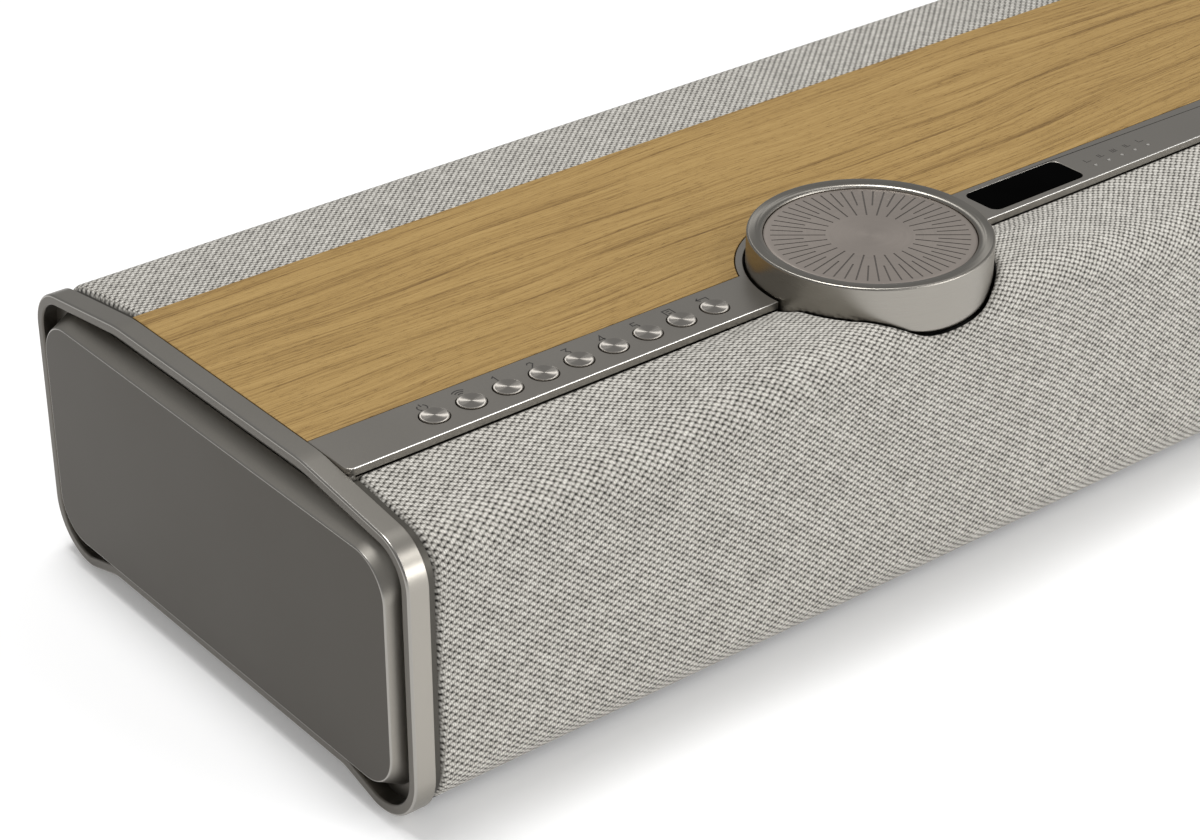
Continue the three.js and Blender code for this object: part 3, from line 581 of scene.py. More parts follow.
def woven_cloth():
    """Plain weave of ivory and grey yarn, laid out by the thread counts in the UV map, with painted shade
    on the yarns' sides and in the gaps between them.
    """
    paint = Paint("woven_cloth", Roughness=0.92, Specular_IOR_Level=0.15, Sheen_Weight=0.12)
    count = paint.node("UVMap", uv_map="threads").outputs[0]
    wobble = paint.noise(count, 0.45, 2)
    first, second, _ = paint.parts(count)
    first = first + (wobble - 0.5) * 0.10
    second = second + (paint.noise(count, 0.37, 2) - 0.5) * 0.10
    row, column = first.math("FLOOR"), second.math("FLOOR")
    across_row, across_column = first - row - 0.5, second - column - 0.5

    def yarn(across, along, other, sign):
        """Height of one family: round across, and rising over every other thread."""
        share = across / THREAD_HALF_WIDTH
        body = (share * share * -1 + 1).math("MAXIMUM", 0.0).math("SQRT")
        wave = ((along + other) * math.pi).sine() * sign
        return body * (wave * 0.21 + 0.79)

    warp = yarn(across_row, second, row, 1)
    weft = yarn(across_column, first, column, -1)
    height = warp.math("MAXIMUM", weft)
    warp_on_top = (warp - weft).step(-0.02, 0.02)
    ply = ((across_row * 1.7 + across_column * 2.6) * (2 * math.pi)).sine()
    row_tone = paint.random(paint.vector(row, 3.0))
    column_tone = paint.random(paint.vector(column, 7.0))
    cell_tone = paint.random(paint.vector(row, column))
    hole_tone = paint.random(paint.vector((first + 0.5).math("FLOOR"), (second + 0.5).math("FLOOR"), 5.0))
    hole_light = (height * -1 + 1) * hole_tone
    middle = (across_row * across_row + across_column * across_column) * -26 + 1
    yarn_tone = row_tone * warp_on_top + column_tone * (warp_on_top * -1 + 1)
    slow = paint.noise(paint.coordinates(), 9, 2)
    # The tone follows the yarn's height, so the yarns' sides are darker and the gaps between them near
    # black: painted shade, lighter in some gaps. It is also a little darker in the middle of each crossing.
    light = height * 0.96 + hole_light * 0.24 + ply * 0.07 + yarn_tone * 0.03 + cell_tone * 0.06
    light = light + slow * 0.02 - middle.math("MAXIMUM", 0.0) * 0.14 - 0.13
    stops = [
        (0.32, (0.012, 0.011, 0.010)),
        (0.55, (0.170, 0.161, 0.143)),
        (0.72, (0.400, 0.382, 0.345)),
        (0.92, (0.760, 0.737, 0.685)),
    ]
    paint.colour(paint.ramp(light, stops))
    paint.bump(height + ply * 0.05, 0.00045, 0.6)
    return paint.material


def gloss_window():
    """Smoked glass over a black screen, with faint smears."""
    paint = Paint("smoked_glass", Specular_IOR_Level=0.004)
    place = paint.coordinates()
    smears = paint.noise(place, 60, 3)
    paint.colour(paint.ramp(smears, [(0.3, (0.0002, 0.0002, 0.0002)), (0.7, (0.0005, 0.0005, 0.0005))]))
    paint.rough(smears * 0.05 + 0.03)
    paint.bump(smears, 0.000004)
    return paint.material


def circuit_board():
    """Green solder mask with a grid of traces and pale pads."""
    paint = Paint("circuit_board", Roughness=0.45)
    place = paint.coordinates((400, 400, 400))
    inputs = {
        "Vector": place,
        "Color1": (0.010, 0.075, 0.035, 1),
        "Color2": (0.014, 0.095, 0.045, 1),
        "Mortar": (0.05, 0.16, 0.07, 1),
        "Scale": 1.0,
        "Mortar Size": 0.05,
    }
    brick = paint.node("TexBrick", inputs)
    pads = paint.noise(place, 0.9, 1).step(0.66, 0.70)
    inputs = {0: pads, 6: brick.outputs[0], 7: (0.55, 0.52, 0.42, 1)}
    paint.colour(paint.node("Mix", inputs, data_type="RGBA").outputs[2])
    paint.bump(pads, 0.00005)
    return paint.material


def fibreboard():
    """Pressed fibres: speckled brown, rough."""
    paint = Paint("fibreboard", Roughness=0.9)
    place = paint.coordinates()
    fibres = paint.noise(paint.coordinates((900, 2600, 2600)), 1, 4, 0.6)
    chips = paint.node("TexVoronoi", {"Vector": place, "Scale": 700.0})
    tone = fibres * 0.7 + Field(paint.tree, chips.outputs["Distance"]) * 0.35
    paint.colour(paint.ramp(tone, [(0.3, (0.11, 0.068, 0.036)), (0.7, (0.22, 0.15, 0.085))]))
    paint.bump(fibres, 0.00012)
    return paint.material


METAL = (0.315, 0.297, 0.266)
EDGE_METAL = (0.86, 0.84, 0.80)
STRIP_METAL = (0.385, 0.362, 0.326)
FACE_SHADE_METAL = (0.135, 0.125, 0.110)
PANEL_METAL = (0.070, 0.063, 0.053)
DISC_METAL = (0.440, 0.390, 0.350)
BUTTON_METAL = (0.43, 0.405, 0.37)

DIAL_CENTRE, DIAL_RADIUS = plan("volume_dial")

EDGE_PAINT = grained("polished_edge", EDGE_METAL, 0.30, 0.0004, 0.000002, 0.03, 1.0)
# Paler metal on the rounded outer edges of the end frames and panels: a painted highlight line along each
# edge.
EDGE_HIGHLIGHT_PAINT = grained("ridge_painted_highlight", (0.34, 0.325, 0.30), 0.30, 0.0003, 0.000003, 0.03, 1.0)
# A darker copy of the frame's metal: painted shade on the frames' end faces, lips, inner walls and webs.
FACE_SHADE_PAINT = grained("frame_face_painted_shade", FACE_SHADE_METAL, 0.40, 0.00025, 0.000006, 0.05, 1.0)
BAND_PAINT = grained("strip_edge_metal", (0.300, 0.284, 0.256), 0.42, 0.00020, 0.000005, 0.05, 1.0)
FRAME_PAINT = grained("blasted_metal", shade(METAL, 1.10), 0.36, 0.00022, 0.000006, 0.05, 1.0)
PANEL_PAINT = grained("dark_blasted_metal", PANEL_METAL, 0.40, 0.00025, 0.000007, 0.06, 1.0)
STRIP_PAINT = grained("strip_metal", STRIP_METAL, 0.34, 0.00020, 0.000005, 0.05, 1.0)
DIAL_PAINT = spun("turned_metal", METAL, 0.30, DIAL_CENTRE, 0.85, 0.000003)
# Dark metal for the spigot inside the band: painted shade in the recess.
RECESS_SHADE_PAINT = grained("recess_painted_shade", (0.085, 0.080, 0.070), 0.5, 0.0003, 0.000005, 0.08, 1.0)
DISC_PAINT = spun("disc_metal", DISC_METAL, 0.46, DIAL_CENTRE, 0.1, 0.000003)
# Darker metal for the walls and floors of the disc's cut lines: painted shade in the grooves.
GROOVE_SHADE_PAINT = grained("groove_painted_shade", (0.125, 0.112, 0.100), 0.6, 0.0002, 0.00001, 0.15, 0.6)
ICON_PAINT = grained("engraved_sign", (0.036, 0.033, 0.030), 0.6, 0.0001, 0.000006, 0.2, 0.3)
OAK_PAINT = oak()
CLOTH_PAINT = woven_cloth()
WINDOW_PAINT = gloss_window()
RUBBER = grained("rubber", (0.018, 0.018, 0.018), 0.85, 0.0004, 0.00004)

CAD_PAINTS = {
    "clear_plastic": grained("light_guide", (0.30, 0.29, 0.27), 0.3, 0.001, 0.000005, 0.1),
    "grey_plastic": grained("moulded_dark_plastic", (0.024, 0.023, 0.022), 0.6, 0.0006, 0.00003),
    "black_plastic": grained("moulded_black_plastic", (0.020, 0.020, 0.021), 0.55, 0.0006, 0.00003),
    "rubber": RUBBER,
    "fibreboard": fibreboard(),
    "circuit_board": circuit_board(),
    "driver_metal": grained("driver_metal", (0.05, 0.05, 0.052), 0.5, 0.0008, 0.00003, 0.15, 0.8),
    "cone_paper": grained("cone_paper", (0.035, 0.035, 0.038), 0.85, 0.0008, 0.00008, 0.25),
    "heat_sink_metal": brushed("extruded_aluminium", (0.42, 0.42, 0.43), 0.42, (40, 2500, 2500), 0.00001),
    "steel": brushed("brushed_steel", (0.52, 0.52, 0.53), 0.34, (60, 3000, 3000), 0.00001),
    "frame_metal": FRAME_PAINT,
    "panel_metal": PANEL_PAINT,
    "strip_metal": STRIP_PAINT,
    "button_metal": STRIP_PAINT,
    "dial_metal": DIAL_PAINT,
    "oak": OAK_PAINT,
    "cloth": CLOTH_PAINT,
    "gloss_window": WINDOW_PAINT,
}


def paint_cad_nodes():
    """Every carried-over CAD node gets the material of its record slot."""
    for part in frame["record"]["subparts"]:
        mesh = frame["nodes"][part["node"]].data
        mesh.materials.clear()
        mesh.materials.append(CAD_PAINTS[part["material_slot"]])


# ---- ends


def spigot(near, far):
    """The thin wall inside the band that reaches up to the cloth, open across the top."""
    shoulder, corner = BAR_TOP
    slope = (shoulder[1] - corner[1]) / shoulder[0]
    front, rear = FRONT_EDGE, DEPTH - REAR_EDGE

    def path(inset):
        loop = [(y, z) for y, z in bar_loop(inset) if z < MID_HEIGHT or y < front or y > REAR_EDGE]
        start = next(i for i, (y, z) in enumerate(loop) if z < MID_HEIGHT < loop[i - 1][1] and y < front)
        turned_loop = loop[start:] + loop[:start]
        cut = max(i for i, (y, z) in enumerate(turned_loop) if y > REAR_EDGE) + 1
        first = [(front, corner[1] + slope * front - inset)]
        last = [(REAR_EDGE, corner[1] + slope * rear - inset)]
        return first + turned_loop[cut:] + turned_loop[:cut] + last

    outline = path(SPIGOT_INSET) + path(SPIGOT_INSET + SPIGOT_THICKNESS)[::-1]
    return loft([slice_at(near, outline), slice_at(far, outline)])


def end_frame(side, word):
    """A cast band with a web, rounded on its outer edges, and its spigot."""
    low, high = bar_box(f"end_frame_{word}")
    outer, reach = max(abs(low.x), abs(high.x)), min(abs(low.x), abs(high.x))
    inner = outer - BAND_WIDTH
    section = [(inner, BAND_CHAMFER), (inner + BAND_CHAMFER, 0)]
    edge = [(outer - drop, inset) for inset, drop in fillet(BAND_ROUND)]
    lip = [(outer - drop, BAND_WALL - inset) for inset, drop in fillet(BAND_ROUND)]
    rings = section + edge + lip[::-1] + [(inner + WEB_THICKNESS, BAND_WALL)]
    body = loft([slice_at(side * x, bar_loop(inset)) for x, inset in rings])
    shape = joined([body, spigot(side * reach, side * inner)])
    count = len(bar_loop(0))
    # The rounded outer edge takes the paler metal of a painted highlight.
    marks = [0] * (len(section) * count) + [1] * ((len(edge) - 1) * count)
    # The end face, the lip, the inner wall and the web take the darker copy of the frame metal: painted
    # shade.
    marks += [3] * (len(body[1]) - len(marks))
    # The spigot takes the dark metal: painted shade.
    marks += [2] * (len(shape[1]) - len(marks))
    name = f"end_frame_{word}"
    paints = [FRAME_PAINT, EDGE_HIGHLIGHT_PAINT, RECESS_SHADE_PAINT, FACE_SHADE_PAINT]
    return solid(f"{name}_cast", shape, paints, [name], face_materials=marks)


def end_panel(side, word):
    """A flat panel with sloping sides, set into the end frame."""
    low, high = bar_box(f"end_panel_{word}")
    outer, inner = max(abs(low.x), abs(high.x)), min(abs(low.x), abs(high.x))

    def corners(spread):
        bottom, top = low.z - spread, high.z + spread
        square = [(low.y, bottom), (high.y, bottom), (high.y, top), (low.y, top)]
        return [(y, z, PANEL_CORNER) for y, z in square]

    section = [(outer - drop, PANEL_DRAFT + inset) for inset, drop in fillet(PANEL_EDGE, 4)]
    rings = [slice_at(side * inner, rounded(corners(PANEL_SPREAD)))]
    rings += [slice_at(side * x, rounded(inset_corners(corners(0), inset))) for x, inset in section]
    name = f"end_panel_{word}"
    shape = loft(rings)
    count = len(rings[0][0])
    # The panel's rounded edge takes the paler metal of a painted highlight, and its sloping sides take the
    # frame's metal.
    marks = [2] * count + [1] * ((len(section) - 1) * count)
    marks += [0] * (len(shape[1]) - len(marks))
    paints = [PANEL_PAINT, EDGE_HIGHLIGHT_PAINT, FRAME_PAINT]
    return solid(f"{name}_cover", shape, paints, [name], face_materials=marks)


# ---- top


STRIP_LOW, STRIP_HIGH = bar_box("control_strip")
WOOD_LOW, WOOD_HIGH = bar_box("wood_top_panel")


def chord(radius, y):
    """Half the width of a circle about the dial's axis, at a given y."""
    return math.sqrt(radius**2 - (y - DIAL_CENTRE[1]) ** 2)


def angle_at(radius, y):
    """The angle, in degrees, at which a circle about the dial's axis crosses a given y."""
    return math.degrees(math.asin((y - DIAL_CENTRE[1]) / radius))


def strip_outline():
    """The strip's plan: two arms joined by a rim behind the dial, anticlockwise."""
    front, rear = STRIP_LOW.y, WOOD_LOW.y - BUTTON_GAP
    left, right = STRIP_LOW.x - STRIP_REACH, STRIP_HIGH.x + STRIP_REACH
    corner = STRIP_CORNER
    inner, outer = angle_at(RIM_INNER, front), angle_at(RIM_OUTER, rear)
    outline = arc((left + corner, front + corner), corner, 180, 270, 6)
    outline += arc(DIAL_CENTRE, RIM_INNER, 180 - inner, inner, 60)
    outline += arc((right - corner, front + corner), corner, 270, 360, 6)
    outline.append((right, rear))
    outline += arc(DIAL_CENTRE, RIM_OUTER, outer, 180 - outer, 48)
    outline.append((left, rear))
    return outline


def button_centre(number):
    return plan(f"button_{number}")[0]


def light_centres():
    low, high = bar_box("status_light_guide")
    middle = (low.y + high.y) / 2
    return [(x, middle) for x in np.linspace(low.x + LIGHT_END, high.x - LIGHT_END, LIGHT_COUNT)]


def display_loop(margin):
    low, high = bar_box("display_window")
    across = (low.x - margin, high.x + margin)
    return rectangle(*across, low.y - margin, high.y + margin, DISPLAY_CORNER + margin)


def control_strip():
    """The top plate with its holes, and the two legs that its front edge stands on."""
    top = STRIP_HIGH.z
    loops, bevels = [strip_outline()], [STRIP_BEVEL]
    for number in range(1, BUTTON_COUNT + 1):
        loops.append(circle(button_centre(number), BUTTON_RADIUS + BUTTON_GAP, 40, clockwise=True))
        bevels.append(BUTTON_BEVEL)
    loops.append(display_loop(BUTTON_GAP)[::-1])
    bevels.append(DISPLAY_BEVEL)
    for x, y in light_centres():
        across = (x - LIGHT_HALF_WIDTH, x + LIGHT_HALF_WIDTH)
        along = (y - LIGHT_HALF_DEPTH, y + LIGHT_HALF_DEPTH)
        loops.append(rectangle(*across, *along, LIGHT_CORNER, math.pi / 6)[::-1])
        bevels.append(LIGHT_BEVEL)
    parts = [plate(loops, top - STRIP_THICKNESS, top, bevels)]
    front, back = STRIP_LOW.y, STRIP_LOW.y + STRIP_LEG
    leg_top = top - STRIP_THICKNESS + LEG_OVERLAP
    for side, end in ((-1, STRIP_LOW.x), (1, STRIP_HIGH.x)):
        near_front, near_back = (DIAL_CENTRE[0] + side * chord(RIM_INNER, y) for y in (front, back))
        leg = [(end, front), (near_front, front), (near_back, back), (end, back)]
        parts.append(plate([leg[::-side]], STRIP_LOW.z, leg_top, [SHARP_BEVEL]))

    def paint_of(middle, normal):
        if middle.y > front + 0.5 or normal.z > 0.98:
            return 0
        return 1 if normal.z > 0.1 else 2

    paints, nodes = [STRIP_PAINT, EDGE_PAINT, BAND_PAINT], ["control_strip"]
    name, shape = "control_strip_plate", joined(parts)
    return solid(name, shape, paints, nodes, paint_of=paint_of)


def wood_panel():
    """The oak top, cut back round the strip's rim."""
    radius = RIM_OUTER + BUTTON_GAP
    front = WOOD_LOW.y
    angle = angle_at(radius, front)
    outline = [(WOOD_LOW.x, front)]
    outline += arc(DIAL_CENTRE, radius, 180 - angle, angle, 48)
    outline += [(WOOD_HIGH.x, front), (WOOD_HIGH.x, WOOD_HIGH.y), (WOOD_LOW.x, WOOD_HIGH.y)]
    shape = plate([outline], WOOD_LOW.z, WOOD_HIGH.z, [0.3])
    return solid("oak_top", shape, [OAK_PAINT], ["wood_top_panel"])


# (inset, drop) pairs over a button's edge, and how far its middle is dished
CAP_EDGE = [(0, 0.30), (0.10, 0.08), (0.35, 0), (0.60, 0.03), (1.2, 0.05)]
CAP_DISH = 0.06


def button(number):
    """A spun cap with a slight dish, above the flange and stem that hold it."""
    name = f"button_{number}"
    low, high = bar_box(name)
    centre, flange = plan(name)
    flange_top = STRIP_HIGH.z - STRIP_THICKNESS - BUTTON_GAP
    profile = [(0, low.z), (BUTTON_STEM, low.z), (BUTTON_STEM, flange_top - 1)]
    profile += [(flange, flange_top - 1), (flange, flange_top), (BUTTON_RADIUS, flange_top)]
    profile += [(BUTTON_RADIUS - inset, high.z - drop) for inset, drop in CAP_EDGE]
    profile += [(1.5, high.z - CAP_DISH), (0, high.z - CAP_DISH)]
    paint = spun(f"spun_{name}", BUTTON_METAL, 0.44, centre, 0.85, 0.000002)
    return solid(f"{name}_cap", turned(profile, centre, 48), [paint], [name], name)


def display():
    low, high = bar_box("display_window")
    shape = plate([display_loop(0)], low.z, high.z, [0.15])
    return solid("display_glass", shape, [WINDOW_PAINT], ["display_window"])


# ---- signs above the buttons


def ribbon(path, width, closed=False):
    """Loops of a flat line of a given width along a path."""
    points = np.array(path, float)
    if closed:
        left = offset_loop([tuple(p) for p in points], width / 2)
        right = offset_loop([tuple(p) for p in points], -width / 2)
        return [right, left[::-1]]
    steps = units(np.diff(points, axis=0))
    ends = np.vstack([steps[:1], steps]) + np.vstack([steps, steps[-1:]])
    ends /= (ends * ends).sum(1)[:, None] / 2
    normal = np.stack([-ends[:, 1], ends[:, 0]], 1) * width / 2
    return [[tuple(p) for p in np.vstack([points - normal, (points + normal)[::-1]])]]


SIGNS = {
    1: [("arc", (0, 0), 1.0, 125, 415), ("line", (0, 0.35), (0, 1.35))],
    2: [
        ("arc", (0, -0.9), 0.7, 40, 140),
        ("arc", (0, -0.9), 1.35, 45, 135),
        ("arc", (0, -0.9), 2.0, 48, 132),
    ],
    3: [("line", (-0.45, 0.65), (0.1, 1.1), (0.1, -1.1))],
    4: [("line", (-0.65, 0.6), (-0.3, 1.1), (0.35, 1.1), (0.65, 0.5), (-0.65, -1.1), (0.7, -1.1))],
    5: [("line", (-0.6, 1.1), (0.6, 1.1), (-0.05, 0.2), (0.6, -0.3), (0.4, -1.0), (-0.6, -1.0))],
    6: [("line", (0.35, -1.1), (0.35, 1.1), (-0.7, -0.35), (0.75, -0.35))],
    7: [("line", (0.6, 1.1), (-0.5, 1.1), (-0.6, 0.1), (0.4, 0.1), (0.6, -0.6), (0.2, -1.1), (-0.6, -1.0))],
    8: [
        ("loop", (-0.95, -1.1), (0.95, -1.1), (0.95, 1.1), (-0.95, 1.1)),
        ("line", (-0.4, 0.45), (0.4, 0.45)),
        ("line", (-0.4, -0.4), (0.4, -0.4)),
    ],
    9: [
        ("line", (1.2, -0.75), (1.2, 0.35), (-1.15, 0.35)),
        ("line", (-0.5, 1.0), (-1.2, 0.35), (-0.5, -0.3)),
    ],
}
# The signs' size and place behind a button, and the small marks behind the lights
SIGN_SIZE = 1.55
SIGN_OFFSET = 5.9
SIGN_STROKE = 0.42
SIGN_HEIGHT = 0.03
MARK_SPACING = 0.9
MARK_BASE = 3.2
MARK_START = 3.6
MARK_END = 5.0
MARK_REACH = 1.2
MARK_STROKE = 0.3
BASE_STROKE = 0.25


def signs():
    """Generic signs and numerals behind the buttons, and small marks behind the lights."""
    top = STRIP_HIGH.z
    parts = []

    def draw(loops):
        parts.append(plate(loops, top - 0.1, top + SIGN_HEIGHT, [SHARP_BEVEL] * len(loops)))

    for number, strokes in SIGNS.items():
        x, y = button_centre(number)
        for kind, *values in strokes:
            if kind == "arc":
                centre, radius, start, end = values
                path = arc(centre, radius, start, end, 20)
            else:
                path = values
            path = [(x + u * SIGN_SIZE, y + SIGN_OFFSET + v * SIGN_SIZE) for u, v in path]
            draw(ribbon(path, SIGN_STROKE, closed=kind == "loop"))
    for k, (x, y) in enumerate(light_centres()):
        for step in range(k + 1 if k < 3 else LIGHT_COUNT - k):
            u = x + (step - 1) * MARK_SPACING
            draw(ribbon([(u, y + MARK_START), (u, y + MARK_END)], MARK_STROKE))
        base = [(x - MARK_REACH, y + MARK_BASE), (x + MARK_REACH, y + MARK_BASE)]
        draw(ribbon(base, BASE_STROKE))
    return solid("engraved_signs", joined(parts), [ICON_PAINT])


# ---- dial


def dial_body():
    """One turned body: rounded foot, straight side, and a lip that falls to the disc."""
    low, high = bar_box("volume_dial")
    disc_low, disc_high = bar_box("dial_disc")
    top, bore_top = high.z, low.z + BORE_DEPTH
    profile = [(0, bore_top), (DIAL_BORE, bore_top), (DIAL_BORE, low.z)]
    profile += foot(DIAL_RADIUS, low.z, DIAL_FOOT)
    profile += [(DIAL_RADIUS - inset, top - drop) for inset, drop in fillet(DIAL_EDGE)]
    lip_start, lip_end = DIAL_RADIUS - DIAL_LIP_FLAT, plan("dial_disc")[1] + DISC_CLEARANCE
    lip_top, lip_floor = top - DIAL_LIP_DROP, disc_high.z - DISC_CLEARANCE
    profile += [(lip_start + 0.25, top), (lip_start, lip_top)]
    for inset, drop in fillet(1.0, 8)[1:]:
        radius = lip_start - (lip_start - lip_end) * (1 - drop)
        profile.append((radius, lip_floor + (lip_top - lip_floor) * (1 - inset)))
    floor = disc_low.z - BUTTON_GAP
    profile += [(lip_end, floor), (0, floor)]
    shape = turned(profile, DIAL_CENTRE, DIAL_SEGMENTS)
    return solid("dial_knob", shape, [DIAL_PAINT], ["volume_dial"], "volume_dial")


def dial_disc():
    """A disc with long and short radial lines cut into its face."""
    low, high = bar_box("dial_disc")
    radius, top = plan("dial_disc")[1], high.z
    radii = [HUB_RADIUS, *LINE_STARTS, LINE_END]
    radii += [radius - inset for inset in (0.9, 0.45, 0.12, 0)]
    drops = [0, 0, 0, 0, 0, 0.06, 0.22, 0.6]
    points, faces, marks = [], [], []

    def add(r, angle, z):
        x, y = DIAL_CENTRE
        points.append((x + r * math.cos(angle), y + r * math.sin(angle), z))
        return len(points) - 1

    def pair(r, k, z):
        """Points on both edges of line k, at a radius."""
        angle = 2 * math.pi / DISC_LINES * k
        half = LINE_WIDTH / 2 / LINE_STARTS[0] if r == HUB_RADIUS else math.asin(LINE_WIDTH / 2 / r)
        return add(r, angle - half, z), add(r, angle + half, z)

    def face(*corners, mark=0):
        faces.append(corners)
        marks.append(mark)

    uppers, lowers = [], []
    for k in range(DISC_LINES):
        uppers.append([pair(r, k, top - drop) for r, drop in zip(radii, drops)])
        lowers.append({i: pair(radii[i], k, top - LINE_DEPTH) for i in range(1 + k % 2, 4)})
    centre = add(0, 0, top)
    for k in range(DISC_LINES):
        here, following, lower = uppers[k], uppers[(k + 1) % DISC_LINES], lowers[k]
        first = min(lower)
        face(centre, *here[0])
        face(centre, here[0][1], following[0][0])
        for i in range(len(radii) - 1):
            (a, b), (c, d) = here[i], here[i + 1]
            face(b, d, following[i + 1][0], following[i][0])
            if first <= i < 3:
                (e, f), (g, h) = lower[i], lower[i + 1]
                face(e, g, h, f, mark=1)
                face(a, c, g, e, mark=1)
                face(f, h, d, b, mark=1)
            else:
                face(a, c, d, b)
        for i in (first, 3):
            face(*here[i], *lower[i][::-1], mark=1)
    base = [vertex for k in range(DISC_LINES) for vertex in pair(radius, k, low.z)]
    rim = [vertex for columns in uppers for vertex in columns[-1]]
    middle = add(0, 0, low.z)
    for k in range(len(rim)):
        n = (k + 1) % len(rim)
        face(rim[k], base[k], base[n], rim[n])
        face(middle, base[n], base[k])
    # Faces marked 1, the cut lines' walls and floors, take the darker metal: painted shade.
    paints = [DISC_PAINT, GROOVE_SHADE_PAINT]
    return solid("dial_face", (points, faces), paints, ["dial_disc"], "volume_dial", marks)


# ---- woofers


GASKET_WIDTH = 1.7
GASKET_OVERLAP = 0.8
RUBBER_THICKNESS = 0.6
RUBBER_OUTSET = 0.35
RUBBER_DROP = 0.1
RUBBER_STILL = 0.4
RUBBER_STEPS = 10
WOOFER_SEGMENTS = 96


def woofer_surround(word):
    """The gasket on a woofer's basket, and the rubber between it and the cone."""
    low, high = bar_box(f"woofer_surround_{word}")
    cone_low, cone_high = bar_box(f"woofer_cone_{word}")
    seat = bar_box(f"woofer_chassis_{word}")[0].y
    middle = (low + high) / 2
    outer, inner = (high.x - low.x) / 2, (cone_high.x - cone_low.x) / 2
    front, edge = low.y, cone_low.y

    def ring(profile):
        points, faces = turned(profile + profile[:1], (0, 0), WOOFER_SEGMENTS)
        return [(middle.x + x, y, middle.z + z) for x, z, y in points], faces

    lip = outer - GASKET_OVERLAP
    wall = [(lip, front), (lip + GASKET_WIDTH, front)]
    gasket = wall + [(radius, seat) for radius, _ in wall[::-1]]
    solid(f"woofer_gasket_{word}", ring(gasket), [RUBBER])
    start, end = lip - RUBBER_DROP, inner + RUBBER_OUTSET
    top = front + RUBBER_DROP
    shares = np.linspace(0, 1, RUBBER_STEPS + 1)
    face = [(start + (end - start) * share, top + (edge - top) * share**2) for share in shares]
    back = [(radius, y + RUBBER_THICKNESS) for radius, y in face[::-1]]
    name = f"woofer_surround_{word}"
    rubber = solid(f"{name}_rubber", ring(face + back), [RUBBER], [name], body=None)
    ends = (front + RUBBER_STILL, edge)
    still, moving = (tuple(row_point((middle.x, y, middle.z))) for y in ends)
    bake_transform(rubber)


# ---- cloth


def lengths(path):
    """The distance of each point of a path from its start."""
    return np.r_[0, np.cumsum(np.linalg.norm(np.diff(path, axis=0), axis=1))]


def cloth_path(share, top_edge, inset=CLOTH_INSET):
    """Dense points on the cloth's face from its top edge, round the front, to its edge below."""
    loop = np.array(collar_loop(inset, share))
    split = int(np.argmin(np.abs(loop[:, 0] - DEPTH / 2) + np.where(loop[:, 1] > MID_HEIGHT, 0, 1e3)))
    path = np.roll(loop, -split, 0)
    path = path[path[:, 0] < DEPTH / 2 + 1e-6]
    path = path[np.r_[True, np.diff(lengths(path)) > 1e-6]]
    length = lengths(path)
    place = np.linspace(0, length[-1], int(length[-1] / PATH_STEP))
    dense = np.stack([np.interp(place, length, column) for column in path.T], 1)
    top = (dense[:, 1] < MID_HEIGHT) | (dense[:, 0] <= top_edge)
    under = (dense[:, 1] > MID_HEIGHT) | (dense[:, 0] <= UNDER_EDGE)
    return dense[top & under]


def cloth_rows(path):
    """The distance of each point of a path from its start, and the outward normals there."""
    tangent = units(np.gradient(path, axis=0))
    return lengths(path), np.stack([tangent[:, 1], -tangent[:, 0]], 1)


def cloth_table(ss, top_edge, steps, inset):
    """y, z and the normal's y and z at distances ss down the cloth, for shares from 0 to 1."""
    table, plain = [], None
    for share in np.linspace(0, 1, steps + 1):
        path = cloth_path(share, top_edge, inset)
        length, normal = cloth_rows(path)
        marks = (0, length[np.argmax(path[:, 1] - path[:, 0])], length[-1])
        plain = plain or marks
        place = np.interp(ss, plain, marks)
        table.append([np.interp(place, length, column) for column in (*path.T, *normal.T)])
    return np.array(table)


def collar_share(x):
    """How far the cloth is drawn up: 1 beside the dial, 0 well away from it."""
    beyond = np.clip((np.abs(x - DIAL_CENTRE[0]) - RIM_INNER) / COLLAR_RUN, 0, 1)
    return (1 + np.cos(np.pi * beyond)) / 2


def cloth_face(xs, ss, top_edge, front):
    """y, z and the normal's y and z over the grid of ss by xs, with a collar in front."""
    if front:
        table = cloth_table(ss, top_edge, COLLAR_STEPS, CLOTH_INSET)
        place = collar_share(xs) * COLLAR_STEPS
    else:
        table = cloth_table(ss, top_edge, 1, REAR_CLOTH_INSET)
        place = np.zeros_like(xs)
    below = np.minimum(place.astype(int), len(table) - 2)
    share = (place - below)[:, None, None]
    face = table[below] * (1 - share) + table[below + 1] * share
    return face.transpose(1, 2, 0)


def spaced(stops):
    """Positions between stops, each given as (position, largest spacing after it)."""
    result = [stops[0][0]]
    for (start, spacing), (end, _) in zip(stops, stops[1:]):
        count = max(1, math.ceil((end - start) / spacing - 1e-9))
        result += list(start + (end - start) * np.arange(1, count + 1) / count)
    return np.array(result)


def rolled(distance, radius):
    """How far a rolled edge has sunk, at a distance inwards from its outermost point."""
    inside = np.clip(radius - distance, 0, radius)
    return radius - np.sqrt(radius**2 - inside**2)


# Threads crossed per millimetre, of both families together: along the bar, and down the
# front and the rear cloth. Near the ends the threads lean, and below the dial they dip.
THREADS_ALONG = 0.67
THREADS_DOWN_FRONT = 0.912
THREADS_DOWN_REAR = 0.76
SKEW_LENGTH = 80.0
SKEW_ROWS = 0.10
SKEW_COLUMNS = 0.06
DIP_WIDTH = 70.0
DIP_START = 36.0
DIP_FADE = 46.0
DIP_DEPTH = 12.0
DIP_LIMIT = 22


